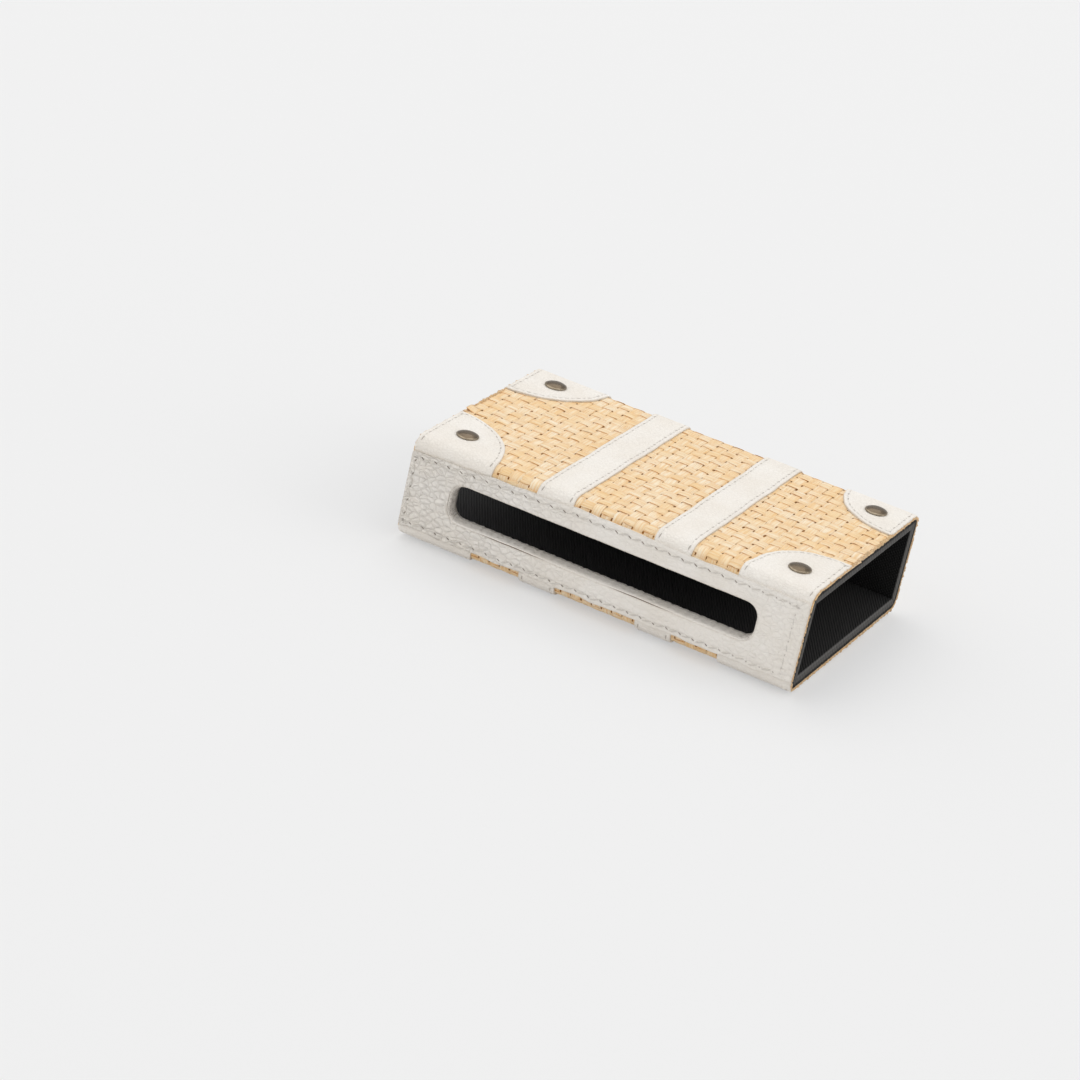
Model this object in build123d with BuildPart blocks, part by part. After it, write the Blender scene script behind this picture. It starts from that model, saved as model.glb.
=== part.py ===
"""Matchbox holder: an open-ended sleeve dressed like a small travel trunk.

Four lined boards make a rectangular tube that a household matchbox slides through. A woven raffia
sheet wraps the tube. Leather straps, riveted corner patches and a stitched front band lie over it,
and a long slot through the front wall leaves the striking side of the box bare.

Frame, in millimetres: X runs along the sleeve, the slotted front faces -Y, and Z is up. The origin
is the middle of the footprint, at the level of the crowns of the underside rivets.
"""
from build123d import *
import math
import os

# Sleeve and bay
sleeve_length = 115.0
bay_width = 65.6
bay_height = 20.6

# Layers, from the bay outwards
lining_thickness = 0.5
board_thickness = 2.5
raffia_thickness = 0.6
leather_thickness = 0.5
band_thickness = 0.9
edge_radius = 3.7
rim_roll = 0.45

# Front band, and how far straps and patches are skived thin and tucked under its edges
band_top_drop = 2.7
band_foot_rise = 3.5
skived_thickness = 0.3
tuck_length = 3.0

# Striking slot through the front wall, with its leather facing
slot_length = 89.7
slot_height = 11.2
slot_corner_radius = 4.2
slot_rise = 15.0
slot_shift = 0.1
facing_thickness = 0.6
facing_setback = 0.15

# Straps, the distance between their centres, and how far the pair sits off the middle
strap_width = 10.6
strap_spacing = 34.0
strap_shift = 1.0

# Corner patches: quarter rounds, with a flap folded over the back edge
front_patch_radius = 24.2
back_patch_radius = 22.0
flap_depth = 7.0
flap_corner_radius = 5.0

# Rivets: a flat-crowned cap, a shank, and a foot flared into the board under the lining
rivet_inset_x = 9.0
front_rivet_inset_y = 11.8
back_rivet_inset_y = 10.1
cap_diameter = 6.2
cap_height = 0.95
crown_diameter = 4.2
shank_diameter = 2.2
foot_diameter = 4.2
foot_thickness = 0.6
rivet_clearance = 0.05

# One overrun for every cut that passes right through
overrun = 5.0

# Stations across the sleeve, along Y
wall_stack = lining_thickness + board_thickness + raffia_thickness
back_y = (bay_width + 2 * wall_stack + band_thickness + leather_thickness) / 2
front_y = -back_y
raffia_front_y = front_y + band_thickness
leather_front_y = raffia_front_y - leather_thickness
raffia_back_y = back_y - leather_thickness
middle_y = (raffia_front_y + raffia_back_y) / 2

# Stations up the sleeve, along Z
foot_z = cap_height
raffia_bottom_z = foot_z + leather_thickness
raffia_top_z = raffia_bottom_z + bay_height + 2 * wall_stack
top_z = raffia_top_z + leather_thickness
middle_z = (raffia_bottom_z + raffia_top_z) / 2
band_top_z = top_z - band_top_drop
band_foot_z = foot_z + band_foot_rise
slot_z = foot_z + slot_rise

# Sizes of the layers, seen along X
raffia_width = raffia_back_y - raffia_front_y
raffia_height = raffia_top_z - raffia_bottom_z
raffia_radius = edge_radius - leather_thickness
board_width = raffia_width - 2 * raffia_thickness
board_height = raffia_height - 2 * raffia_thickness
board_radius = raffia_radius - raffia_thickness
lined_width = bay_width + 2 * lining_thickness
lined_height = bay_height + 2 * lining_thickness
board_length = sleeve_length - 2 * lining_thickness

# A rivet's reach, from the leather to the board's inner face, and the full angle of its foot
rivet_reach = leather_thickness + raffia_thickness + board_thickness
foot_flare = (foot_diameter - shank_diameter) / 2
foot_angle = 2 * math.degrees(math.atan2(foot_flare, foot_thickness))

sides = ("top", "back", "bottom", "front")
ends = {"left": -1, "right": 1}

# The plane across the sleeve, centred on the tube: its x is along Y and its y is up
section_plane = Plane(origin=(0, middle_y, middle_z), x_dir=(0, 1, 0), z_dir=(1, 0, 0))

os.makedirs("parts", exist_ok=True)


def save(piece, name):
    """Label a finished piece and write it under that name."""
    piece.part.label = name
    export_step(piece.part, f"parts/{name}.step")


def layer_outline(grow, mode=Mode.ADD):
    """The raffia's outer outline across the sleeve, grown outwards by a thickness."""
    size = (raffia_width + 2 * grow, raffia_height + 2 * grow)
    RectangleRounded(*size, raffia_radius + grow, mode=mode)


def board_outline():
    """The outer outline of the four boards across the sleeve."""
    RectangleRounded(board_width, board_height, board_radius)


def mitre(side):
    """Keep one wall's share of the tube's section: a wedge with 45 degree ends."""
    reach = raffia_width
    flat = side in ("top", "bottom")
    sign = 1 if side in ("top", "back") else -1
    half_run, rise = (bay_width, bay_height) if flat else (bay_height, bay_width)
    wedge = [
        (-half_run / 2, rise / 2),
        (half_run / 2, rise / 2),
        (half_run / 2 + reach, rise / 2 + reach),
        (-half_run / 2 - reach, rise / 2 + reach),
    ]
    corners = [(run, sign * out) if flat else (sign * out, run) for run, out in wedge]
    Polygon(*corners, align=None, mode=Mode.INTERSECT)


def cut_slot():
    """Cut the striking slot through the front wall of the piece being built."""
    depth = band_thickness + wall_stack + overrun
    extrude(slot_outline.sketch, amount=depth, mode=Mode.SUBTRACT)


def rivet_planes(side, depth=0.0, outwards=True):
    """The four rivet axes of the top or the bottom, from a depth under the leather's surface."""
    run_x = sleeve_length / 2 - rivet_inset_x
    front, back = leather_front_y + front_rivet_inset_y, back_y - back_rivet_inset_y
    up = 1 if side == "top" else -1
    height = top_z - depth if side == "top" else foot_z + depth
    return [
        Plane((end * run_x, y, height), x_dir=(1, 0, 0), z_dir=(0, 0, up if outwards else -up))
        for end in ends.values()
        for y in (front, back)
    ]


def drill_rivet_holes(side):
    """Drill the shank holes of one side through the piece being built."""
    with Locations(*rivet_planes(side)):
        Hole(shank_diameter / 2 + rivet_clearance, depth=rivet_reach)


# The striking slot's outline, on the band's face
slot_plane = Plane(origin=(slot_shift, front_y, slot_z), x_dir=(1, 0, 0), z_dir=(0, 1, 0))
with BuildSketch(slot_plane) as slot_outline:
    RectangleRounded(slot_length, slot_height, slot_corner_radius)

# Boards: four stiff panels with mitred corners, rounded along their outer edges
for side in sides:
    with BuildPart() as board:
        with BuildSketch(section_plane):
            board_outline()
            Rectangle(lined_width, lined_height, mode=Mode.SUBTRACT)
            mitre(side)
        extrude(amount=board_length / 2, both=True)
        if side == "front":
            cut_slot()
        if side in ("top", "bottom"):
            with Locations(*rivet_planes(side, depth=rivet_reach, outwards=False)):
                CounterSinkHole(
                    radius=shank_diameter / 2 + rivet_clearance,
                    counter_sink_radius=foot_diameter / 2 + rivet_clearance,
                    counter_sink_angle=foot_angle,
                    depth=rivet_reach,
                )
    save(board, f"{side}_board")

# Lining: cloth on the inner face of each board, turned over both of its ends
for side in sides:
    with BuildPart() as lining:
        with BuildSketch(section_plane):
            board_outline()
            Rectangle(bay_width, bay_height, mode=Mode.SUBTRACT)
            mitre(side)
        extrude(amount=sleeve_length / 2, both=True)
        with BuildSketch(section_plane):
            board_outline()
            Rectangle(lined_width, lined_height, mode=Mode.SUBTRACT)
        extrude(amount=board_length / 2, both=True, mode=Mode.SUBTRACT)
        if side == "front":
            cut_slot()
        # The cloth rounds over into the bay at both ends
        across = Axis.Y if side in ("top", "bottom") else Axis.Z
        rims = lining.edges().filter_by(across).group_by(Axis.X)
        for rim in (rims[0], rims[-1]):
            rim_middle = (rim[0].center().X, middle_y, middle_z)
            fillet(rim.sort_by_distance(rim_middle)[0], rim_roll)
    save(lining, f"{side}_lining")

# Raffia: one woven sheet round the whole tube
with BuildPart() as raffia:
    with BuildSketch(section_plane):
        layer_outline(0)
        RectangleRounded(board_width, board_height, board_radius, mode=Mode.SUBTRACT)
    extrude(amount=sleeve_length / 2, both=True)
    cut_slot()
    drill_rivet_holes("top")
    drill_rivet_holes("bottom")
save(raffia, "raffia_wrap")

# Section of a leather piece laid round the raffia: full thickness outside the front band, and a
# skived tongue tucked under each edge of it
band_height = band_top_z - band_foot_z
band_place = (-raffia_width / 2, (band_top_z + band_foot_z) / 2 - middle_z)
with BuildSketch(section_plane) as outside_band:
    layer_outline(leather_thickness)
    with Locations(band_place):
        Rectangle(raffia_width / 2, band_height, mode=Mode.SUBTRACT)
with BuildSketch(section_plane) as leather_section:
    layer_outline(skived_thickness)
    with Locations(band_place):
        Rectangle(raffia_width / 2, band_height - 2 * tuck_length, mode=Mode.SUBTRACT)
    add(outside_band.sketch_local)
    layer_outline(0, mode=Mode.SUBTRACT)

# Straps: each runs from under the band's top edge, over the top and the back, to its lower edge
tucked = []
for end, sign in ends.items():
    with BuildPart() as strap:
        extrude(leather_section.sketch, amount=sleeve_length / 2, both=True)
        with BuildSketch(Plane.XY.offset(-overrun)):
            with Locations((strap_shift + sign * strap_spacing / 2, middle_y)):
                Rectangle(strap_width, 2 * raffia_width)
        extrude(amount=top_z + 2 * overrun, mode=Mode.INTERSECT)
    save(strap, f"{end}_strap")
    tucked.append(strap.part)

# Corner patches: front ones are tucked under the band, back ones fold over the back edge
for side, edge_z in (("top", top_z), ("bottom", foot_z)):
    for end, sign in ends.items():
        for face, corner_y, patch_radius in (
            ("front", leather_front_y, front_patch_radius),
            ("back", back_y, back_patch_radius),
        ):
            corner = (sign * sleeve_length / 2, corner_y)
            with BuildPart() as patch:
                extrude(leather_section.sketch, amount=sleeve_length / 2, both=True)
                with BuildSketch(Plane.XY.offset(middle_z)):
                    with Locations(corner):
                        Circle(patch_radius)
                reach = top_z if side == "top" else -top_z
                extrude(amount=reach, mode=Mode.INTERSECT)
                if face == "back":
                    with BuildSketch(Plane.XZ):
                        with Locations((corner[0], edge_z)):
                            RectangleRounded(2 * patch_radius, 2 * flap_depth, flap_corner_radius)
                    extrude(amount=raffia_width, both=True, mode=Mode.INTERSECT)
                drill_rivet_holes(side)
            save(patch, f"{side}_{face}_{end}_patch")
            tucked.append(patch.part)

# Front band: one long leather panel with the slot through it, relieved over the tucked tongues
with BuildPart() as band:
    with BuildSketch(section_plane):
        layer_outline(band_thickness)
        layer_outline(0, mode=Mode.SUBTRACT)
        with Locations(band_place):
            Rectangle(raffia_width / 2, band_height, mode=Mode.INTERSECT)
    extrude(amount=sleeve_length / 2, both=True)
    cut_slot()
    for piece in tucked:
        add(piece, mode=Mode.SUBTRACT)
save(band, "front_band")

# Slot facing: a leather strip bent round inside the slot, through the whole front wall
with BuildPart() as facing:
    with BuildSketch(slot_plane.offset(facing_setback)):
        RectangleRounded(slot_length, slot_height, slot_corner_radius)
        clear_length = slot_length - 2 * facing_thickness
        clear_height = slot_height - 2 * facing_thickness
        clear_radius = slot_corner_radius - facing_thickness
        RectangleRounded(clear_length, clear_height, clear_radius, mode=Mode.SUBTRACT)
    extrude(amount=band_thickness + wall_stack - facing_setback)
save(facing, "slot_facing")

# Rivets: turned from one profile, four in the top and four in the underside
with BuildPart() as rivet:
    with BuildSketch(Plane.XZ):
        Polygon(
            (0, cap_height),
            (crown_diameter / 2, cap_height),
            (cap_diameter / 2, 0),
            (shank_diameter / 2, 0),
            (shank_diameter / 2, foot_thickness - rivet_reach),
            (foot_diameter / 2, -rivet_reach),
            (0, -rivet_reach),
            align=None,
        )
    revolve(axis=Axis.Z)
for side, name in (("top", "top_rivets"), ("bottom", "underside_rivets")):
    with BuildPart() as rivets:
        with Locations(*rivet_planes(side)):
            add(rivet.part)
    save(rivets, name)
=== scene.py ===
"""Matchbox holder: the looks of a sleeve dressed like a small travel trunk.

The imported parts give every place. Over them come woven raffia ribbons, leather straps, corner
patches and a front band with their stitching, domed rivets, a slot facing, and the finishes of the
cloth lining and the boards. A pale floor, soft lamps and a camera make the picture.

Most pieces are drawn on the raffia's outline, rolled out flat: x runs along the sleeve, run goes
round it from the middle of the front wall, up and over the top, and lift is the height above it.
"""

import math

import bpy
import numpy as np
from bpy.props import FloatProperty, FloatVectorProperty, IntProperty, PointerProperty
from mathutils import Matrix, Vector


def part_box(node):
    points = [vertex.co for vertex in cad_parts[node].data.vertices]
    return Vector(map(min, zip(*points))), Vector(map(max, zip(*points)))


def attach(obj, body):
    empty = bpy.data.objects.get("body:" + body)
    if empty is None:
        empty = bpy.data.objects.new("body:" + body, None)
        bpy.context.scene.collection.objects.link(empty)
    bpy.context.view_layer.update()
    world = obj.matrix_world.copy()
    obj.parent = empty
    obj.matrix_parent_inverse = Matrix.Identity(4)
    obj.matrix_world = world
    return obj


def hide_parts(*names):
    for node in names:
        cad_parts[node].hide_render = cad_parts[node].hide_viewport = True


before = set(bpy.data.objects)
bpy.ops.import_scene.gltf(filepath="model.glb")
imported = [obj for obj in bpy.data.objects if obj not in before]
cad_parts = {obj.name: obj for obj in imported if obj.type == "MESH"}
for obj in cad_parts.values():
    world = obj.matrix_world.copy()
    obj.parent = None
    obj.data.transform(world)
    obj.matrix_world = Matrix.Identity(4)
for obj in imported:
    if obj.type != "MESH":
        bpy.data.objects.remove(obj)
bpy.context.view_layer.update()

bl_info = {
    "name": "Matchbox holder",
    "version": (1, 0, 0),
    "blender": (4, 5, 0),
    "location": "3D View > Sidebar > Matchbox holder",
    "description": "Makes the raffia, leather, rivets, lining and stage of a matchbox holder",
    "category": "Object",
}

MM = 0.001
QUARTER = math.pi / 2


# ---------------------------------------------------------------- places read from the frame


def span(node):
    """A node's lowest and highest corner, as two arrays."""
    return tuple(np.array(corner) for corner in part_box(node))


WRAP_LOW, WRAP_HIGH = span("raffia_wrap")
BAND_LOW, BAND_HIGH = span("front_band")
SLOT_LOW, SLOT_HIGH = span("slot_facing")
BAY_Y = (span("front_lining")[1][1], span("back_lining")[0][1])
BAY_Z = (span("bottom_lining")[1][2], span("top_lining")[0][2])
SLEEVE_END = WRAP_HIGH[0]
LEATHER_TOP = span("left_strap")[1][2]
LEATHER = LEATHER_TOP - WRAP_HIGH[2]
WRAP_RADIUS = 3.2 * MM
MIDDLE_Z = (WRAP_LOW[2] + WRAP_HIGH[2]) / 2
FLAT_DEEP = WRAP_HIGH[1] - WRAP_LOW[1] - 2 * WRAP_RADIUS
FLAT_TALL = WRAP_HIGH[2] - WRAP_LOW[2] - 2 * WRAP_RADIUS
TURN = QUARTER * WRAP_RADIUS
GIRTH = 2 * (FLAT_DEEP + FLAT_TALL) + 4 * TURN

# The wrap's outline as nine stretches: straight walls and quarter turns, from the front's middle
STRETCH_LENGTHS = np.array(
    [FLAT_TALL / 2, TURN, FLAT_DEEP, TURN, FLAT_TALL, TURN, FLAT_DEEP, TURN, FLAT_TALL / 2]
)
STRETCH_STARTS = np.concatenate([[0.0], np.cumsum(STRETCH_LENGTHS)[:-1]])
STRETCH_BENDS = np.array([0, 1, 0, 1, 0, 1, 0, 1, 0]) / WRAP_RADIUS
STRETCH_HEADINGS = np.array([1, 1, 0, 0, -1, -1, -2, -2, -3]) * QUARTER
(_, FRONT, FOOT), (_, BACK, TOP) = WRAP_LOW, WRAP_HIGH
FRONT_TURN, BACK_TURN = FRONT + WRAP_RADIUS, BACK - WRAP_RADIUS
FOOT_TURN, TOP_TURN = FOOT + WRAP_RADIUS, TOP - WRAP_RADIUS
STRETCH_Y = np.array(
    [FRONT, FRONT, FRONT_TURN, BACK_TURN, BACK, BACK, BACK_TURN, FRONT_TURN, FRONT]
)
STRETCH_Z = np.array([MIDDLE_Z, TOP_TURN, TOP, TOP, TOP_TURN, FOOT_TURN, FOOT, FOOT, FOOT_TURN])


def on_wrap(x, run, lift):
    """Points on the wrap: the outline at run, pushed out by lift along its outward normal.

    On a stretch of bend b the heading turns by b times the distance s into it, and the place moves
    by the integral of the heading's direction; on a straight stretch it moves by s itself.
    """
    x, run, lift = np.broadcast_arrays(x, run, lift)
    turn = np.mod(run, GIRTH)
    which = np.clip(np.searchsorted(STRETCH_STARTS, turn, side="right") - 1, 0, 8)
    s = turn - STRETCH_STARTS[which]
    bend = STRETCH_BENDS[which]
    start = STRETCH_HEADINGS[which]
    heading = start - bend * s
    curved = bend > 0
    step_y = np.where(curved, WRAP_RADIUS * (np.sin(start) - np.sin(heading)), s * np.cos(start))
    step_z = np.where(curved, WRAP_RADIUS * (np.cos(heading) - np.cos(start)), s * np.sin(start))
    y = STRETCH_Y[which] + step_y - lift * np.sin(heading)
    z = STRETCH_Z[which] + step_z + lift * np.cos(heading)
    return np.stack([x, y, z], axis=-1)


def front_run(height, lift):
    """The run at which a point of this lift on the front wall or its turns has this height."""
    reach = FLAT_TALL / 2 + TURN * 0.98
    runs = np.linspace(-reach, reach, 801)
    return np.interp(height, on_wrap(0.0, runs, lift)[..., 2], runs)


TUCK = 3.0 * MM
BAND_TOP = float(front_run(BAND_HIGH[2], LEATHER))
BAND_FOOT = float(front_run(BAND_LOW[2], LEATHER))
WEAVE_START = BAND_TOP - TUCK
WEAVE_END = GIRTH + BAND_FOOT + TUCK


# ---------------------------------------------------------------- meshes from whole arrays


def grid_quads(numbers, closed=False):
    """Quads between neighbouring numbers of a grid (or a batch of them), rows by columns."""
    if closed:
        numbers = np.concatenate([numbers, numbers[..., :1]], axis=-1)
    corners = [
        numbers[..., :-1, :-1], numbers[..., 1:, :-1], numbers[..., 1:, 1:], numbers[..., :-1, 1:],
    ]
    return np.stack(corners, axis=-1).reshape(-1, 4)


def numbered(shape):
    """The numbers of a grid's points, in the grid's own shape."""
    return np.arange(int(np.prod(shape))).reshape(shape)


def put_on(piece, finish):
    """Gives a piece its one finish."""
    piece.data.materials.clear()
    piece.data.materials.append(finish)


def new_object(name, data):
    """An object for a mesh, lamp or camera, linked to the scene."""
    made = bpy.data.objects.new(name, data)
    bpy.context.scene.collection.objects.link(made)
    return made


def make_piece(name, finish, points, faces, slot, nodes=(), uv=None, **marks):
    """A piece from its points and faces, riding on the holder and standing for CAD nodes.

    Faces is a list of arrays, one per number of corners. The sum of the signed tetrahedra under all
    faces is the volume; where it is negative, every face is turned round, so they face outwards.
    """
    points = np.asarray(points, float).reshape(-1, 3)
    middle = points.mean(axis=0)
    volume = 0.0
    for group in faces:
        corner = points[group] - middle
        for k in range(1, group.shape[1] - 1):
            cross = np.cross(corner[:, k], corner[:, k + 1])
            volume += float(np.einsum("ij,ij->", corner[:, 0], cross))
    if volume < 0:
        faces = [group[:, ::-1] for group in faces]
    loops = np.concatenate([group.ravel() for group in faces]).astype(np.int32)
    sizes = np.concatenate([np.full(len(group), group.shape[1]) for group in faces])
    starts = np.concatenate([[0], np.cumsum(sizes)[:-1]]).astype(np.int32)
    mesh = bpy.data.meshes.new(name)
    mesh.vertices.add(len(points))
    mesh.vertices.foreach_set("co", points.astype(np.float32).ravel())
    mesh.loops.add(len(loops))
    mesh.loops.foreach_set("vertex_index", loops)
    mesh.polygons.add(len(sizes))
    mesh.polygons.foreach_set("loop_start", starts)
    mesh.update(calc_edges=True)
    mesh.polygons.foreach_set("use_smooth", np.ones(len(sizes), bool))
    if uv is not None:
        layer = mesh.uv_layers.new(name="along")
        layer.data.foreach_set("uv", np.asarray(uv, np.float32).reshape(-1, 2)[loops].ravel())
    for mark, values in marks.items():
        values = np.asarray(values, np.float32)
        three = values.shape[-1] == 3
        attribute = mesh.attributes.new(mark, "FLOAT_VECTOR" if three else "FLOAT", "POINT")
        attribute.data.foreach_set("vector" if three else "value", values.ravel())
    if mesh.validate():
        raise RuntimeError(f"{name} had faces that had to be mended")
    piece = new_object(name, mesh)
    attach(piece, "root")
    if nodes:
        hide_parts(*nodes)
    put_on(piece, finish)


def shell_faces(shape, ring=False):
    """Faces of closed skins between an outer and an inner grid of one shape, or batches of them.

    The outer grid's points come first, then the inner's. The inner face is the outer turned round,
    and a wall joins the two along each open border. A ring's columns close on themselves.
    """
    outer = numbered(shape)
    inner = outer + outer.size

    def wall(row, closed=False):
        """Quads between one border row of the outer grid and the inner's."""
        pair = np.stack([outer[row], inner[row]], axis=-1)
        if closed:
            pair = np.concatenate([pair, pair[..., :1, :]], axis=-2)
        return grid_quads(pair)

    faces = [grid_quads(outer, ring), grid_quads(inner, ring)[:, ::-1]]
    faces += [wall(np.s_[..., 0, :], ring), wall(np.s_[..., -1, :], ring)[:, ::-1]]
    if not ring:
        faces += [wall(np.s_[..., :, 0])[:, ::-1], wall(np.s_[..., :, -1])]
    return [np.concatenate(faces)]


def tube_faces(shape):
    """Faces of a batch of six-sided tubes, rows along and columns round, with capped ends."""
    numbers = numbered(shape)
    first, last = numbers[..., 0, :], numbers[..., -1, :]
    caps = [first[..., [0, 1, 2, 3]], first[..., [0, 3, 4, 5]]]
    caps += [last[..., [3, 2, 1, 0]], last[..., [5, 4, 3, 0]]]
    return [np.concatenate([grid_quads(numbers, True)] + [cap.reshape(-1, 4) for cap in caps])]


def drift(position, seed, wavelength, size):
    """A slow wander: three sines of falling wavelength and height, with seeded phases."""
    phases = np.random.default_rng(seed).uniform(0, 2 * math.pi, 3)
    wander = np.zeros(np.shape(position))
    for k, phase in enumerate(phases):
        share = 0.62**k
        wander = wander + share * np.sin(2 * math.pi * position / (wavelength * share) + phase)
    return wander * size / 2


def soft_step(value, low, high):
    """Rises smoothly from 0 at low to 1 at high, as 3t squared less 2t cubed."""
    t = np.clip((value - low) / (high - low), 0, 1)
    return t * t * (3 - 2 * t)


def path_lengths(path):
    """How far along a path each of its points lies, as the sum of the steps before it."""
    return np.concatenate([[0.0], np.cumsum(np.linalg.norm(np.diff(path, axis=0), axis=1))])


def resample(path, shares):
    """Points of a path at these shares of its length."""
    lengths = path_lengths(path)
    at = np.asarray(shares) * lengths[-1]
    return np.stack([np.interp(at, lengths, path[:, k]) for k in range(path.shape[1])], axis=-1)


def evenly(path, count):
    """A path drawn again with this many points, evenly spaced."""
    return resample(path, np.linspace(0, 1, count))


def blocks(count):
    """Point numbers in blocks small enough to be compared with a whole path at once."""
    return np.array_split(np.arange(count), max(1, count // 4000))


def beside(path, points):
    """How far along a path, and how far to its left, each point lies.

    The nearest corner of the path is found for each point, and the offset from it is split along
    the path's own direction and across it.
    """
    steps = np.gradient(path, axis=0)
    ahead = steps / np.linalg.norm(steps, axis=1, keepdims=True)
    flat = points.reshape(-1, 2)
    nearest = np.empty(len(flat), int)
    for block in blocks(len(flat)):
        gap = ((flat[block, None, :] - path[None, :, :]) ** 2).sum(axis=-1)
        nearest[block] = gap.argmin(axis=1)
    offset = flat - path[nearest]
    way = ahead[nearest]
    along = path_lengths(path)[nearest] + (offset * way).sum(axis=1)
    across = way[:, 0] * offset[:, 1] - way[:, 1] * offset[:, 0]
    return along.reshape(points.shape[:-1]), across.reshape(points.shape[:-1])


def edge_gap(path, points):
    """The distance from each point to a path: to the nearest place on its nearest step."""
    flat = points.reshape(-1, 2)
    gaps = np.empty(len(flat))
    starts = path[:-1][None]
    steps = (path[1:] - path[:-1])[None]
    squares = np.maximum((steps**2).sum(-1), 1e-18)
    for block in blocks(len(flat)):
        offset = flat[block, None, :] - starts
        share = np.clip((offset * steps).sum(-1) / squares, 0, 1)
        gaps[block] = np.sqrt(((offset - share[..., None] * steps) ** 2).sum(-1).min(axis=1))
    return gaps.reshape(points.shape[:-1])


def rolled(gap, thickness, roll):
    """Height of a leather face near its cut edge: a quarter round of radius roll, then level."""
    inside = np.clip(roll - gap, 0, roll)
    return thickness - roll + np.sqrt(np.maximum(roll**2 - inside**2, 0))


def edge_shares(length, step):
    """Stations from 0 to 1 of a length, close together at both ends and even between."""
    near = np.array([0.0, 0.03, 0.09, 0.18, 0.32, 0.6]) * MM
    count = max(2, int(round((length - 2 * near[-1]) / step)))
    middle = np.linspace(near[-1], length - near[-1], count + 1)
    return np.concatenate([near[:-1], middle, length - near[:-1][::-1]]) / length


# ---------------------------------------------------------------- sizes and colours to change


def swatch(name, description, default):
    """A colour to change."""
    return FloatVectorProperty(
        name=name, description=description, subtype="COLOR", size=3, default=default
    )


def measure(name, description, millimetres):
    """A length to change, given here in millimetres and kept in metres."""
    return FloatProperty(
        name=name, description=description, default=millimetres * MM, unit="LENGTH", precision=5
    )


def number(name, description, default):
    """A plain number to change."""
    return FloatProperty(name=name, description=description, default=default)


class RaffiaSettings(bpy.types.PropertyGroup):
    """The woven raffia."""

    hoops: IntProperty(
        name="Hoops", description="Ribbons that run round the sleeve", default=38, min=10, max=80
    )
    strips: IntProperty(
        name="Strips", description="Ribbons that run along the sleeve", default=46, min=10, max=90
    )
    thickness: measure("Ribbon thickness", "Thickness of one flat bundle of raffia", 0.14)
    rise: measure("Strip rise", "How far a strip along the sleeve rises and sinks", 0.11)
    hoop_rise: measure("Hoop rise", "How far a hoop round the sleeve rises and sinks", 0.03)
    colour: swatch("Straw", "Main colour of the raffia", (0.95, 0.71, 0.41))
    pale: swatch("Pale fibre", "Colour of the palest fibres", (0.98, 0.86, 0.66))
    shade: swatch("Shaded gap", "Colour deep in the weave", (0.66, 0.27, 0.050))


class LeatherSettings(bpy.types.PropertyGroup):
    """The leather and its thread."""

    colour: swatch("Leather", "Main colour of the leather", (0.915, 0.872, 0.812))
    # Colour mixed into the grain's creases as painted shade
    crease: swatch("Crease", "Colour in the grain's creases", (0.70, 0.64, 0.56))
    thread: swatch("Thread", "Colour of the stitching", (0.84, 0.79, 0.72))
    roll: measure("Edge roll", "Roundness of a cut edge", 0.28)
    band_pitch: measure("Band stitch", "Length of one stitch on the front band", 3.8)
    fine_pitch: measure("Fine stitch", "Length of one stitch on the straps and patches", 3.55)
    thread_width: measure("Thread width", "Diameter of the front band's thread", 0.46)


class LiningSettings(bpy.types.PropertyGroup):
    """The cloth lining and the boards under it."""

    # Near black: the bay's cloth, darkened as painted shade
    colour: swatch("Cloth", "Colour of the lining", (0.0030, 0.0029, 0.0028))
    # The same cloth over the ends, lighter as painted light
    rim: swatch("Rim cloth", "Colour of the lining turned over the ends", (0.064, 0.061, 0.058))
    rib: measure("Rib spacing", "Distance between the cloth's ribs", 0.83)
    board: swatch("Board", "Colour of the boards", (0.45, 0.43, 0.40))


class RivetSettings(bpy.types.PropertyGroup):
    """The rivets."""

    colour: swatch("Brass", "Colour of the aged plating", (0.17, 0.13, 0.09))
    # Colour towards the edge of each cap: wear and a painted highlight
    bright: swatch("Rubbed brass", "Colour where the plating is rubbed", (0.36, 0.30, 0.22))
    fullness: number("Dome", "Power of the dome's curve, higher is flatter", 2.6)


class StageSettings(bpy.types.PropertyGroup):
    """The floor, lamps and camera."""

    floor: swatch("Floor", "Colour of the floor", (0.83, 0.83, 0.83))
    veil: number("Floor veil", "Even white laid over the floor, which pales the shadow", 0.44)
    focal: number("Focal length", "The camera's focal length in millimetres", 124.53)
    key: number("Key lamp", "Power of the main lamp in watts", 32.0)
    fill: number("Fill lamp", "Power of the front lamp in watts", 16.0)
    side: number("Side lamp", "Power of the right-hand lamp in watts", 16.0)
    sky: number("Sky", "Strength of the even light", 0.68)


# ---------------------------------------------------------------- shader groups and finishes

GROUPS = {}
FINISHES = {}


class Wire:
    """A value that runs between shader nodes. Sums written with wires become Math nodes."""

    def __init__(self, shader, socket):
        self.shader, self.socket = shader, socket

    def __add__(self, other):
        return self.shader.sum("ADD", self, other)

    def __sub__(self, other):
        return self.shader.sum("SUBTRACT", self, other)

    def __rsub__(self, other):
        return self.shader.sum("SUBTRACT", other, self)

    def __mul__(self, other):
        return self.shader.sum("MULTIPLY", self, other)

    def __truediv__(self, other):
        return self.shader.sum("DIVIDE", self, other)

    def __rtruediv__(self, other):
        return self.shader.sum("DIVIDE", other, self)

    def __pow__(self, other):
        return self.shader.sum("POWER", self, other)

    def __abs__(self):
        return self.shader.sum("ABSOLUTE", self)


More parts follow.
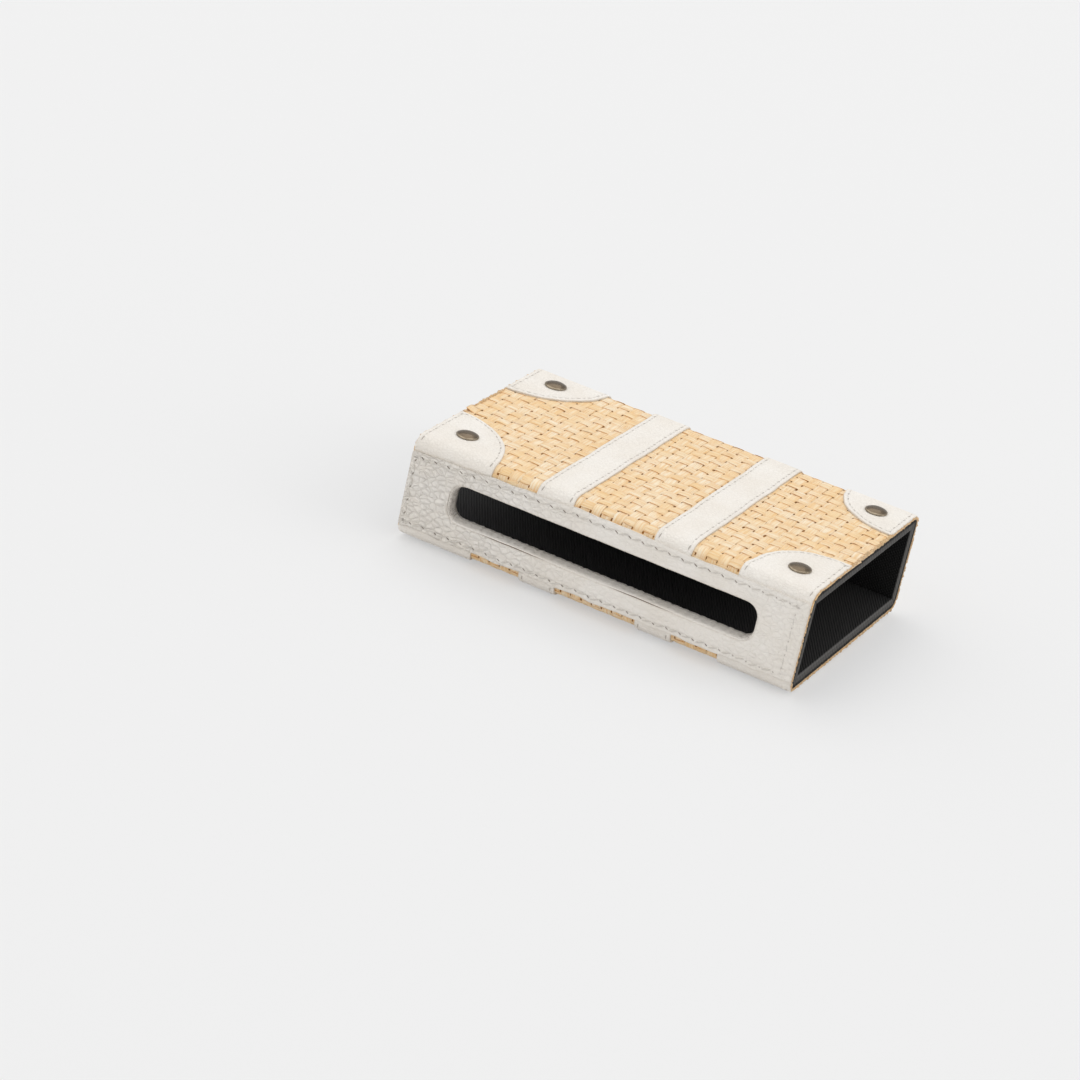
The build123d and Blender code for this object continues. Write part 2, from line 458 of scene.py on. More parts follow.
class Shader:
    """A tree of shader nodes in the making."""

    def __init__(self, tree):
        self.tree = tree

    def fill(self, node, inputs):
        """Links a node's inputs to wires, or gives them plain values, by name or number."""
        for name, value in inputs.items():
            if isinstance(value, Wire):
                self.tree.links.new(value.socket, node.inputs[name])
            else:
                node.inputs[name].default_value = value

    def node(self, kind, inputs=None, **settings):
        """A new node with its settings and inputs."""
        made = self.tree.nodes.new("ShaderNode" + kind)
        for name, value in settings.items():
            setattr(made, name, value)
        self.fill(made, inputs or {})
        return made

    def wire(self, kind, result, inputs=None, **settings):
        """One result of a new node, by name or number."""
        return Wire(self, self.node(kind, inputs, **settings).outputs[result])

    def results(self, node):
        """All results of a node, by name."""
        return {socket.name: Wire(self, socket) for socket in node.outputs}

    def sum(self, operation, *values, clamp=False):
        """The result of one Math node."""
        return self.wire("Math", 0, dict(enumerate(values)), operation=operation, use_clamp=clamp)

    def vector(self, operation, *values):
        """The result of one Vector Math node."""
        return self.wire("VectorMath", 0, dict(enumerate(values)), operation=operation)

    def split(self, vector):
        """A vector's three parts."""
        parts = self.node("SeparateXYZ", {"Vector": vector})
        return [Wire(self, socket) for socket in parts.outputs]

    def noise(self, place, scale, detail=2.0, result="Fac"):
        """Noise at a place."""
        inputs = {"Vector": place, "Scale": scale, "Detail": detail}
        return self.wire("TexNoise", result, inputs)

    def ramp(self, value, low, high, start=0.0, end=1.0):
        """A smooth rise from start to end as value goes from low to high."""
        inputs = {"Value": value, "From Min": low, "From Max": high, "To Min": start, "To Max": end}
        return self.wire("MapRange", "Result", inputs, interpolation_type="SMOOTHSTEP")

    def arches(self, value):
        """Half sine waves: the size of the sine of pi times value."""
        return abs(self.sum("SINE", value * math.pi))

    def mix(self, share, first, second, mode="MIX"):
        """A blend of two colours."""
        inputs = {0: share}
        for place, colour in ((6, first), (7, second)):
            inputs[place] = colour if isinstance(colour, Wire) else (*colour[:3], 1.0)
        return self.wire("Mix", 2, inputs, data_type="RGBA", blend_type=mode)

    def mark(self, name, kind="Fac"):
        """A point mark that a piece carries, read back by name."""
        return self.wire("Attribute", kind, attribute_name=name)

    def group(self, maker, inputs):
        """A shared group, built once and placed here with its own values; its results by name."""
        name = maker.__name__
        if name not in GROUPS:
            GROUPS[name] = maker(name)
        return self.results(self.node("Group", inputs, node_tree=GROUPS[name]))


class Finish(Shader):
    """A material in the making, with one Principled surface."""

    def __init__(self, name, surface):
        self.material = bpy.data.materials.new(name)
        self.material.use_nodes = True
        super().__init__(self.material.node_tree)
        self.tree.nodes.clear()
        self.surface = self.node("BsdfPrincipled", surface)
        self.node("OutputMaterial", {"Surface": Wire(self, self.surface.outputs[0])})

    def place(self):
        """The place on the piece, in metres."""
        return self.wire("TexCoord", "Object")

    def along(self):
        """The place along and across a ribbon or thread, from its own map."""
        return self.wire("UVMap", "UV", uv_map="along")

    def cover(self, colour, rough=None, height=None, depth=0.0):
        """Gives the surface its colour, roughness and relief, and hands the material over."""
        inputs = {"Base Color": colour}
        if rough is not None:
            inputs["Roughness"] = rough
        if height is not None:
            relief = {"Height": height, "Distance": depth, "Strength": 1.0}
            inputs["Normal"] = self.wire("Bump", "Normal", relief)
        self.fill(self.surface, inputs)
        return self.material


def shaded(colour, *parts):
    """A colour times one factor, or times one each for its red, green and blue."""
    return tuple(np.array(colour) * parts)


def start_group(name, inputs, outputs):
    """A shader group with its named inputs, vectors where no value is given, and its outputs."""
    tree = bpy.data.node_groups.new(name, "ShaderNodeTree")
    for label, value in inputs.items():
        kind = "NodeSocketVector" if value is None else "NodeSocketFloat"
        socket = tree.interface.new_socket(label, in_out="INPUT", socket_type=kind)
        if value is not None:
            socket.default_value = value
    for label in outputs:
        tree.interface.new_socket(label, in_out="OUTPUT", socket_type="NodeSocketFloat")
    shader = Shader(tree)
    given = shader.results(tree.nodes.new("NodeGroupInput"))
    return shader, given, tree.nodes.new("NodeGroupOutput")


def pebble_grain(name):
    """Leather grain: rounded pebbles parted by creases, with finer pebbles and wrinkles over them.

    A pebble's height is a power below one of the distance from its cell's border, up to its level
    top, on a cell pattern whose places are first pushed about by a broad and a fine noise. Cells at
    less than half the size, and two noises for unevenness and wrinkles, are added to it. A second
    result marks the narrow creases between the pebbles, where the leather's colour is darkened as
    painted shade.
    """
    shader, given, output = start_group(
        name, {"Place": None, "Cell": 1.3 * MM, "Coarse": 1.0}, ("Height", "Crease")
    )
    coarse = given["Coarse"]
    scale = 1.0 / given["Cell"]
    place = shader.vector("MULTIPLY", given["Place"], (1.0, 1.0, 1.4))
    for reach, fineness in ((0.45 * MM, 300.0), (0.12 * MM, 1000.0)):
        wobble = shader.noise(given["Place"], fineness, result="Color")
        centred = shader.vector("SUBTRACT", wobble, (0.5, 0.5, 0.5))
        moved = shader.vector("MULTIPLY", centred, (reach * 2,) * 3)
        place = shader.vector("ADD", place, moved)

    def domes(size, wide):
        """Cells that rise steeply from their borders and are level on top."""
        cells = {"Vector": place, "Scale": size}
        border = shader.wire("TexVoronoi", "Distance", cells, feature="DISTANCE_TO_EDGE")
        return shader.sum("DIVIDE", border, wide, clamp=True) ** 0.8

    large, small = domes(scale, 0.46), domes(scale * 2.6, 0.36)
    wrinkles, uneven = shader.noise(place, 1500.0), shader.noise(place, 420.0)
    height = large * coarse + uneven * 0.35 + small * 0.12 + wrinkles * 0.16
    shader.fill(output, {"Height": height, "Crease": (1.0 - domes(scale, 0.12)) * coarse})
    return shader.tree


def needle_marks(name):
    """Dark slanted needle slits along a seam, and the pucker that the thread pulls.

    Seam is (stitches along, distance across in mm, softness). Each slit is an ellipse in the middle
    of its stitch, turned by a slant, and the pucker is a soft trough along the seam. A soft seam
    has small faint holes.
    """
    shader, given, output = start_group(
        name,
        {"Seam": None, "Pitch": 3.8, "Long": 0.52, "Wide": 0.13, "Slant": -0.5},
        ("Slit", "Pucker"),
    )
    along, aside, soft = shader.split(given["Seam"])
    ahead = (shader.sum("FRACT", along) - 0.5) * given["Pitch"]
    firm = 1.0 - soft
    cosine, sine = (shader.sum(wave, given["Slant"]) for wave in ("COSINE", "SINE"))
    major = ahead * cosine + aside * sine
    minor = aside * cosine - ahead * sine
    length = given["Long"] * shader.sum("MAXIMUM", firm, 0.42)
    reach = (abs(major) / length) ** 2.0 + (abs(minor) / given["Wide"]) ** 2.0
    slit = shader.ramp(reach, 0.4, 1.6, 1.0, 0.0) * firm**0.5
    near_slit = shader.ramp(abs(ahead), 0.0, 1.4, 1.0, 0.45)
    pucker = shader.ramp(abs(aside), 0.0, 0.8, 1.0, 0.0) * near_slit
    pucker = pucker * shader.ramp(firm, 0.2, 1.0, 0.25, 1.0)
    shader.fill(output, {"Slit": slit, "Pucker": pucker})
    return shader.tree


def fibre_lines(name):
    """Raffia fibres: noise drawn out along the ribbon, as a height and a streak.

    Along is the ribbon's own (length, width) in mm. The noise is looked up with the length pressed
    twenty times, so its spots become long fibres. Where a broader one of the same kind crosses its
    middle value, the ribbon is split by a thin line, a gap between fibres that darkens the colour
    as painted shade.
    """
    shader, given, output = start_group(
        name, {"Along": None, "Tone": 0.5}, ("Height", "Streak", "Split")
    )
    length, width, _ = shader.split(given["Along"])
    fibre_place = {"X": length * 0.16, "Y": width * 3.4, "Z": given["Tone"] * 37.0}
    pressed = shader.wire("CombineXYZ", 0, fibre_place)
    fibres, broad = shader.noise(pressed, 1.0, 3.0), shader.noise(pressed, 0.35, 1.0)
    streak = shader.ramp(fibres * 0.6 + broad * 0.4, 0.38, 0.62)
    patches = shader.ramp(shader.noise(given["Along"], 0.33, 1.0), 0.46, 0.60)
    split = shader.ramp(abs(broad - 0.5), 0.0, 0.022, 1.0, 0.0) * patches
    shader.fill(output, {"Height": fibres, "Streak": streak, "Split": split})
    return shader.tree


def cloth_ribs(name):
    """Ribbed cloth: ridges across one direction, broken by the finer threads across them.

    Across is the distance over the ribs and Down the distance along them, both in rib spacings. A
    rib is half a sine wave, and the threads are a quicker wave, shifted from rib to rib.
    """
    shader, given, output = start_group(
        name, {"Across": 0.0, "Down": 0.0}, ("Height", "Rib", "Thread")
    )
    rib = shader.arches(given["Across"])
    shift = shader.sum("FLOOR", given["Across"]) * 0.5
    thread = shader.arches(given["Down"] * 2.2 + shift)
    shader.fill(output, {"Height": rib + thread * 0.35, "Rib": rib, "Thread": thread})
    return shader.tree


def rubbed_edges(name):
    """Wear and painted light: a mask that is strong at a cut edge and breaks up into patches away
    from it.

    Edge is 1 at the edge and falls with distance; noise is added before it is cut to a mask. On
    leather cut edges it is wear; on the slot facing it is painted shade deeper in the slot, and on
    the rivets wear with a painted highlight.
    """
    shader, given, output = start_group(
        name, {"Place": None, "Edge": 0.0, "Amount": 0.5}, ("Worn",)
    )
    reach = given["Edge"] + (shader.noise(given["Place"], 700.0, 3.0) - 0.5)
    shader.fill(output, {"Worn": shader.ramp(reach, 0.35, 0.95) * given["Amount"]})
    return shader.tree


# Colour of wear at cut edges, and of painted shade deep in the slot facing
WORN_AND_SHADED_LEATHER = (0.62, 0.55, 0.46)
SLIT_SHADE = (0.26, 0.19, 0.13)
# Colour of dark specks and of painted shade on the slot facing
SPECKS_AND_SHADE = (0.16, 0.10, 0.06)


def leather_finish(name, settings, pitch, cell, coarse, depth, band=False):
    """Pebbled leather with needle slits, puckers and worn edges, with painted shade in its grain's
    creases and, on the slot facing, in its open seam and deep in the slot, where there are dark
    specks too.

    On the band the grain is coarsest at the left and faint at the right.
    """
    finish = Finish(name, {"Roughness": 0.55, "Specular IOR Level": 0.35})
    place = finish.place()
    slits = {"Seam": finish.mark("seam", "Vector"), "Pitch": pitch / MM}
    if band:
        x = finish.split(place)[0]
        left = finish.ramp(x, -44 * MM, 10 * MM, coarse, coarse * 0.30)
        coarse = left + finish.ramp(x, 34 * MM, 48 * MM, 0.0, coarse * 0.16)
    else:
        slits |= {"Long": 0.62, "Wide": 0.15, "Slant": -0.12}
    grain = finish.group(pebble_grain, {"Place": place, "Cell": cell, "Coarse": coarse})
    marks = finish.group(needle_marks, slits)
    edges = {"Place": place, "Edge": finish.mark("edge"), "Amount": 0.30}
    mottle = finish.ramp(finish.noise(place, 90.0, 3.0), 0.3, 0.7)
    # Painted shade: the grain's creases are darkened towards their colour
    colour = finish.mix(grain["Crease"] * 0.34, settings.colour, settings.crease)
    tint = finish.mix(mottle, (0.96, 0.945, 0.925), (1.0, 1.0, 1.0))
    colour = finish.mix(1.0, colour, tint, "MULTIPLY")
    # Darker towards cut edges as wear; on the slot facing the same mix is painted shade deeper in
    # the slot
    colour = finish.mix(finish.group(rubbed_edges, edges)["Worn"], colour, WORN_AND_SHADED_LEATHER)
    colour = finish.mix(marks["Slit"] * (0.85 if band else 0.46), colour, SLIT_SHADE)
    # On the slot facing only: painted shade in its open seam and on its walls, and dark specks
    colour = finish.mix(finish.mark("soil"), colour, SPECKS_AND_SHADE)
    rough = finish.ramp(grain["Height"], 0.2, 1.6, 0.66, 0.50)
    height = grain["Height"] - marks["Pucker"] * 0.5 - marks["Slit"] * 0.9
    return finish.cover(colour, rough, height, depth)


def thread_finish(name, settings):
    """Twisted thread: slanted ridges along each stitch, with painted shade in the grooves between
    them.
    """
    finish = Finish(name, {"Roughness": 0.6})
    along, round_thread, _ = finish.split(finish.along())
    twist = finish.arches(along * 5.0 + round_thread)
    # Painted shade: darker in the grooves of the twist
    colour = finish.mix(twist, shaded(settings.thread, 0.72), settings.thread)
    return finish.cover(colour, None, twist, 0.05 * MM)


def raffia_finish(name, settings):
    """Straw fibres: pale streaks along each ribbon, its own tone, and painted shade in thin splits,
    where a ribbon sinks under its neighbours, and along its edges.
    """
    finish = Finish(name, {"Roughness": 0.5, "Specular IOR Level": 0.35})
    strand = {"Along": finish.along(), "Tone": finish.mark("strand")}
    fibres = finish.group(fibre_lines, strand)
    patchy = finish.ramp(finish.noise(finish.place(), 110.0), 0.38, 0.62, 0.0, 0.45)
    colour = finish.mix(finish.mark("tone") * 0.55 + patchy, settings.colour, settings.pale)
    dull = shaded(settings.colour, 0.90, 0.74, 0.52)
    colour = finish.mix((1.0 - fibres["Streak"]) * 0.7, colour, dull)
    # Painted shade in the thin splits between fibres
    colour = finish.mix(fibres["Split"] * 0.5, colour, shaded(settings.colour, 0.68, 0.46, 0.28))
    # Painted shade from the depth mark: in the weave's dips and along the ribbons' edges
    colour = finish.mix(finish.mark("depth"), colour, settings.shade)
    rough = finish.ramp(fibres["Streak"], 0.0, 1.0, 0.60, 0.44)
    return finish.cover(colour, rough, fibres["Height"], 0.22 * MM)


def ground_finish(name, settings):
    """The dark ground that shows through the weave's gaps: painted shade."""
    finish = Finish(name, {"Roughness": 0.9})
    spots = finish.noise(finish.place(), 500.0)
    return finish.cover(
        finish.mix(spots, shaded(settings.shade, 0.16), shaded(settings.shade, 0.8))
    )


def cloth_finish(name, settings):
    """Black ribbed cloth: ribs slant across the bay, and the back wall's are broken into dots.

    Its colour is near black, darker than the same cloth over the ends, as painted shade in the bay.
    The ribs' crests and the back wall's dots are lighter as a painted highlight, the more so
    towards the open ends, as painted light. Over the ends the same cloth is a lighter grey as
    painted light, lightest along its inner fold as a painted highlight, with painted highlights on
    its threads, and black along its cut outer edge, with a dark mitre at each corner. Out is the
    distance beyond the bay's walls.
    """
    cloth = {"Roughness": 0.8, "Specular IOR Level": 0.18}
    finish = Finish(name, cloth | {"Sheen Weight": 0.06, "Sheen Roughness": 0.4})
    place = finish.place()
    x, y, z = finish.split(place)
    from_middle = abs(x)
    round_wall = y + z
    slant = (x + round_wall * 0.54) / settings.rib
    ribs = finish.group(cloth_ribs, {"Across": slant, "Down": round_wall / settings.rib})
    cloth_noise = finish.noise(place, 900.0, 4.0)
    back_wall = finish.ramp(y, BAY_Y[1] - 0.8 * MM, BAY_Y[1] - 0.3 * MM)
    rising, falling = (
        finish.group(cloth_ribs, {"Across": slanted / (settings.rib * 1.35)})["Rib"]
        for slanted in (x + z * 1.3, x - z * 1.3)
    )
    weave = {0: back_wall, 2: ribs["Rib"], 3: rising * falling}
    # Painted highlight on the ribs' crests and the back wall's dots
    crest_highlight = finish.wire("Mix", 0, weave, data_type="FLOAT") ** 2.0
    # Painted light: lighter towards the open ends, where light comes into the bay
    rubbed_and_lit = finish.ramp(from_middle, 8 * MM, 50 * MM, 0.25, 1.0)
    share = finish.sum("MULTIPLY", crest_highlight, rubbed_and_lit, clamp=True)
    colour = finish.mix(share, settings.colour, shaded(settings.colour, 9.0))
    aside, above = (
        abs(axis - (low + high) / 2) - (high - low) / 2
        for axis, (low, high) in ((y, BAY_Y), (z, BAY_Z))
    )
    out = finish.sum("MAXIMUM", aside, above)
    # Over the ends: the same cloth lighter as painted light, with painted highlights on its threads
    rim = finish.mix(ribs["Thread"] * cloth_noise, settings.rim, shaded(settings.rim, 1.7))
    # Painted highlight along the inner fold
    fold_highlight = finish.ramp(out, 0.25 * MM, 0.6 * MM, 0.7, 0.0)
    rim = finish.mix(fold_highlight, rim, shaded(settings.rim, 2.2))
    cut = finish.ramp(out + cloth_noise * (0.5 * MM), 1.95 * MM, 2.45 * MM)
    rim = finish.mix(cut, rim, settings.colour)
    corner = finish.ramp(finish.sum("MINIMUM", aside, above), -0.05 * MM, 0.1 * MM)
    mitre = corner * finish.ramp(abs(aside - above), 0.05 * MM, 0.3 * MM, 0.9, 0.0)
    rim = finish.mix(mitre, rim, settings.colour)
    end = finish.ramp(from_middle, SLEEVE_END - 0.5 * MM, SLEEVE_END - 0.1 * MM)
    return finish.cover(finish.mix(end, colour, rim), None, ribs["Height"], 0.14 * MM)


def board_finish(name, settings):
    """Dense grey board, speckled with short fibres."""
    finish = Finish(name, {"Roughness": 0.85})
    specks = finish.noise(finish.place(), 1500.0, 4.0)
    colour = finish.mix(specks, shaded(settings.board, 0.75), settings.board)
    return finish.cover(colour, None, specks, 0.05 * MM)


def rivet_finish(name, settings):
    """Aged plating: dark in the middle, lighter towards the edge of each cap as wear and a painted
    highlight, with fine scratches.
    """
    finish = Finish(name, {"Roughness": 0.35, "Metallic": 1.0})
    place = finish.place()
    cloudy = finish.noise(place, 900.0, 4.0)
    edges = {"Place": place, "Edge": finish.mark("edge"), "Amount": 0.8}
    colour = finish.mix(cloudy * 0.5, settings.colour, shaded(settings.colour, 0.6))
    # Wear and a painted highlight towards the edge of each cap
    colour = finish.mix(finish.group(rubbed_edges, edges)["Worn"], colour, settings.bright)
    rough = finish.ramp(cloudy, 0.3, 0.7, 0.22, 0.34)
    return finish.cover(colour, rough, cloudy, 0.015 * MM)


def finish_named(name, maker, *values):
    """A finish by name, made once."""
    if name not in FINISHES:
        FINISHES[name] = maker(name, *values)
    return FINISHES[name]


# ---------------------------------------------------------------- raffia

RIBBON_STEPS = 10
RIBBON_ACROSS = np.array([-1.0, -0.84, 0.0, 0.84, 1.0])
RIBBON_CROWN = np.array([0.40, 0.90, 1.0, 0.90, 0.40])
GROUND_TOP, GROUND_FOOT = -0.31 * MM, -0.4 * MM
LOOSE_RUN = STRETCH_STARTS[2] + (-7.4 * MM - STRETCH_Y[2])


def weave_wave(count_along, crossing):
    """Over and under: a cosine per crossing, squared off by tanh; odd numbers turn its sign."""
    wave = np.tanh(2.4 * np.cos(math.pi * crossing)) / math.tanh(2.4)
    return wave * np.where(np.mod(count_along, 2) == 0, 1.0, -1.0)


def ribbon_batch(name, settings, mids, ahead, wave, width, shape, seed, lengthwise, raised=0.0):
    """A batch of flat woven ribbons as closed skins.

    Rows go along each ribbon and columns across it. The middle line wanders a little, the width
    shrinks where the ribbon dips between its neighbours, the face is crowned, and the lift is the
    weave's wave. Shape gives (rise, fill, pinch, painted shade in the dips, painted shade along the
    low edge, painted shade along the high edge). The depth mark carries this painted shade, more on
    the side that faces the front, where the lamps' shadow falls.
    """
    rng = np.random.default_rng(seed)
    rise, fill, pinch, dip_shade, low_rim_shade, high_rim_shade = shape
    count, rows = len(mids), ahead.shape[-1]
    shares = np.linspace(0, 1, rows)

    def wander(size, knots=24):
        """A seeded wander along each ribbon, straight between its knots."""
        values = rng.normal(0, size, (count, knots))
        return np.stack([np.interp(shares, np.linspace(0, 1, knots), row) for row in values])

    between = 1 - wave**2
    middle = mids[:, None] + wander(0.035 * width) + wander(0.02 * width, 48)
    tall = rise * wave * (1 + wander(0.15, 60))
    half = width / 2 * (fill - pinch * between + np.clip(wander(0.05, 70), -0.12, 0.03))
    lean = wander(0.04 * MM, 48)[..., None] * RIBBON_ACROSS
    body = settings.thickness / 2
    base = -settings.rise - body - 0.02 * MM
    centre = (base + tall + wander(0.015 * MM) + raised)[..., None]
    side = middle[..., None] + half[..., None] * RIBBON_ACROSS
    way = np.broadcast_to(ahead[:, :, None], side.shape)
    x, run = (way, side) if lengthwise else (side, way)
    crown = body * RIBBON_CROWN
    points = [on_wrap(x, run, centre + crown + lean), on_wrap(x, run, centre - crown + lean)]
    tone = np.clip(rng.uniform(0.1, 0.9, (count, 1)) + wander(0.25), 0, 1)[..., None] * np.ones(5)
    # Painted shade: darker where the ribbon sinks under its neighbours and in the dips, and along
    # its edges, with a strength that wanders along it
    sunk = 0.05 * np.clip(-wave, 0, 1) + dip_shade * between
    strong = np.clip(0.90 + wander(0.65, 90), 0.0, 1.6)
    rim_shade_strength = np.abs(np.clip(wave, -0.6, 0.9)) * strong + 0.35 * between
    rim_shades = np.array([low_rim_shade, 0.0, 0.0, 0.0, high_rim_shade])
    depth = np.clip(sunk[..., None] + rim_shades * rim_shade_strength[..., None], 0, 1)
    strand = np.broadcast_to(rng.uniform(0, 1, (count, 1, 1)), side.shape)
    across = np.broadcast_to(RIBBON_ACROSS * width / 2, side.shape)
    uv = np.stack([way, across], axis=-1) / MM
    make_piece(
        name, finish_named("raffia_ribbon", raffia_finish, settings), np.stack(points),
        shell_faces(side.shape), "woven_raffia", ("raffia_wrap",), uv=np.stack([uv, uv]),
        # The inner skin's painted shade is darker still
        tone=np.stack([tone, tone]), depth=np.stack([depth, np.clip(depth + 0.35, 0, 1)]),
        strand=np.stack([strand, strand]),
    )


class HOLDER_OT_raffia(bpy.types.Operator):
    """Weaves the raffia hoops and strips round the sleeve, over a dark ground of painted shade"""

    bl_idname = "holder.raffia"
    bl_label = "Woven raffia"

    def execute(self, context):
        settings = context.scene.holder_raffia
        hoop_pitch = 2 * SLEEVE_END / settings.hoops
        strip_pitch = (WEAVE_END - WEAVE_START) / settings.strips
        hoops, strips = np.arange(settings.hoops), np.arange(settings.strips)
        hoop_x = -SLEEVE_END + (hoops + 0.5) * hoop_pitch
        strip_run = WEAVE_START + (strips + 0.5) * strip_pitch
        runs = np.linspace(WEAVE_START, WEAVE_END, settings.strips * RIBBON_STEPS + 1)
        spots = np.linspace(-SLEEVE_END, SLEEVE_END, settings.hoops * RIBBON_STEPS + 1)
        half_hoops, half_strips = settings.hoops // 2, settings.strips // 2
        for name, chosen, seed in (
            ("raffia_hoops_left", hoops[:half_hoops], 11),
            ("raffia_hoops_right", hoops[half_hoops:], 12),
        ):
            wave = weave_wave(chosen[:, None], (runs[None] - WEAVE_START) / strip_pitch - 0.5)
            # The last three numbers are painted shade: in the dips and along each edge
            shape = (settings.hoop_rise, 0.985, 0.11, 0.13, 0.04, 0.04)
            ahead = np.broadcast_to(runs, (len(chosen), len(runs)))
            ribbon_batch(
                name, settings, hoop_x[chosen], ahead, wave, hoop_pitch, shape, seed, False
            )
        # The strips' painted edge shade is stronger on the side that faces the front
        for name, chosen, seed, rim_shades in (
            ("raffia_strips_top", strips[:half_strips], 13, (1.0, 0.45)),
            ("raffia_strips_under", strips[half_strips:], 14, (0.45, 1.0)),
        ):
            wave = -weave_wave(chosen[:, None], (spots[None] + SLEEVE_END) / hoop_pitch - 0.5)
            shape = (settings.rise, 0.87, 0.08, 0.03, *rim_shades)
            uneven = np.random.default_rng(seed + 10).uniform(-0.35, 0.45, (2, len(chosen))) * MM
            ahead = np.tile(spots, (len(chosen), 1))
            ahead[:, 0] -= uneven[0]
            ahead[:, -1] += uneven[1]
            loose = np.abs(strip_run[chosen] - LOOSE_RUN) < strip_pitch / 2
            raised = loose[:, None] * 0.75 * MM * soft_step(-spots, SLEEVE_END - 3 * MM, SLEEVE_END)
            ribbon_batch(
                name, settings, strip_run[chosen], ahead, wave, strip_pitch, shape, seed, True,
                raised,
            )
        self.ground(settings)
        self.end_edges(settings)
        return {"FINISHED"}

    def ground(self, settings):
        """A thin dark skin under the ribbons: painted shade that shows in the gaps of the weave."""
        x, run = np.meshgrid(
            np.linspace(-SLEEVE_END + 0.4 * MM, SLEEVE_END - 0.4 * MM, 40),
            np.linspace(WEAVE_START, WEAVE_END, 400),
        )
        points = np.stack([on_wrap(x, run, GROUND_TOP), on_wrap(x, run, GROUND_FOOT)])
        make_piece(
            "raffia_ground", finish_named("raffia_ground", ground_finish, settings), points,
            shell_faces(x.shape), "woven_raffia", ("raffia_wrap",),
        )

    def end_edges(self, settings):
        """The cut edges of the raffia: a wavy cord of fibre ends round each end of the sleeve.

        Its section is a squared oval, whose width along x is a power of the cosine.
        """
        steps, sides = 900, 8
        run = np.linspace(0, GIRTH, steps, endpoint=False)
        angle = np.linspace(0, 2 * math.pi, sides, endpoint=False)
        phase = run / GIRTH * 2 * math.pi
        points, uvs = [], []
        for end, seed in ((-1, 21), (1, 22)):
            wave = 0.5 * np.sin(23 * phase + seed) + 0.5 * np.sin(61 * phase + 2 * seed)
            ragged = drift(run, seed + 5, 2.2 * MM, 0.16 * MM)
            ragged = ragged + drift(run, seed, 0.9 * MM, 0.10 * MM)
            out = (0.40 * MM + 0.06 * MM * wave + ragged)[:, None]
            middle = (-0.20 * MM + 0.10 * MM * np.sin(37 * phase) + 0.5 * ragged)[:, None]
            turn = end * angle
            squared = np.sign(np.cos(turn)) * np.abs(np.cos(turn)) ** 0.7
            x = end * (SLEEVE_END - 0.22 * MM) + end * out * squared
            lift = middle + (out + 0.02 * MM) * np.sin(turn)
            points.append(on_wrap(x, run[:, None], lift))
            uvs.append(np.stack(np.broadcast_arrays(run[:, None], turn * 0.2 * MM), -1) / MM)
        shape = (2, steps, sides)
        grid = numbered(shape)
        closed = np.concatenate([grid, grid[:, :1]], axis=1)
        marks = np.broadcast_to(0.5 + drift(run, 29, 1.4 * MM, 0.7)[None, :, None], shape)
        make_piece(
            "raffia_end_edges", finish_named("raffia_ribbon", raffia_finish, settings),
            np.stack(points), [grid_quads(closed, True)], "woven_raffia", ("raffia_wrap",),
            uv=np.stack(uvs), tone=marks, depth=marks * 0.5, strand=marks,
        )


# ---------------------------------------------------------------- leather

# The distance from a seam, in mm, given to points that lie too far away to show its marks
NO_SEAM = 9.0


def stitch_row(seams, pitch, width, slope, height, gap):
    """Thread arcs of a row of stitches, as a batch of six-sided tubes, with their maps.

    Each stitch leaves one needle slit and enters the next. It swings across the seam by slope, and
    rises from below the leather to its height in half a sine.
    """
    rings, uvs = [], []
    share = np.linspace(0, 1, 9)
    angle = np.linspace(0, 2 * math.pi, 6, endpoint=False)
    rise = np.sin(math.pi * share) ** 0.6
    radius = (width / 2 * (0.75 + 0.25 * rise))[None, :, None]
    side, up = np.cos(angle) * radius, np.sin(angle) * radius
    lift = (height - width * 0.75 + width * 0.95 * rise)[:, None] + up
    swing = slope * (share - 0.5)
    for seam in seams:
        lengths = path_lengths(seam)
        starts = (np.arange(int(lengths[-1] / pitch)) + 0.5) * pitch
        at = np.clip(starts[:, None] + gap + share * (pitch - 2 * gap), 0, lengths[-1])
        x, run = (np.interp(at, lengths, seam[:, k]) for k in (0, 1))
        dx, drun = (np.interp(at, lengths, np.gradient(seam[:, k], lengths)) for k in (0, 1))
        x, run = (x - drun * swing)[..., None], (run + dx * swing)[..., None]
        rings.append(on_wrap(x - drun[..., None] * side, run + dx[..., None] * side, lift))
        along = np.broadcast_to(at[..., None] / MM, at.shape + angle.shape)
        uvs.append(np.stack([along, np.broadcast_to(angle / math.pi, along.shape)], -1))
    return np.concatenate(rings), np.concatenate(uvs)


def fine_stitches(seams, settings):
    """The small stitches of straps and patches, half sunk into the leather."""
    return stitch_row(
        seams, settings.fine_pitch, 0.30 * MM, 0.20 * MM, LEATHER - 0.07 * MM, 0.75 * MM
    )


def stitch_piece(name, batches, settings):
    """All the thread of some seams as one piece."""
    points, uvs = (np.concatenate(part) for part in zip(*batches))
    make_piece(
        name, finish_named("seam_thread", thread_finish, settings), points,
        tube_faces(points.shape[:3]), "white_leather", uv=uvs,
    )


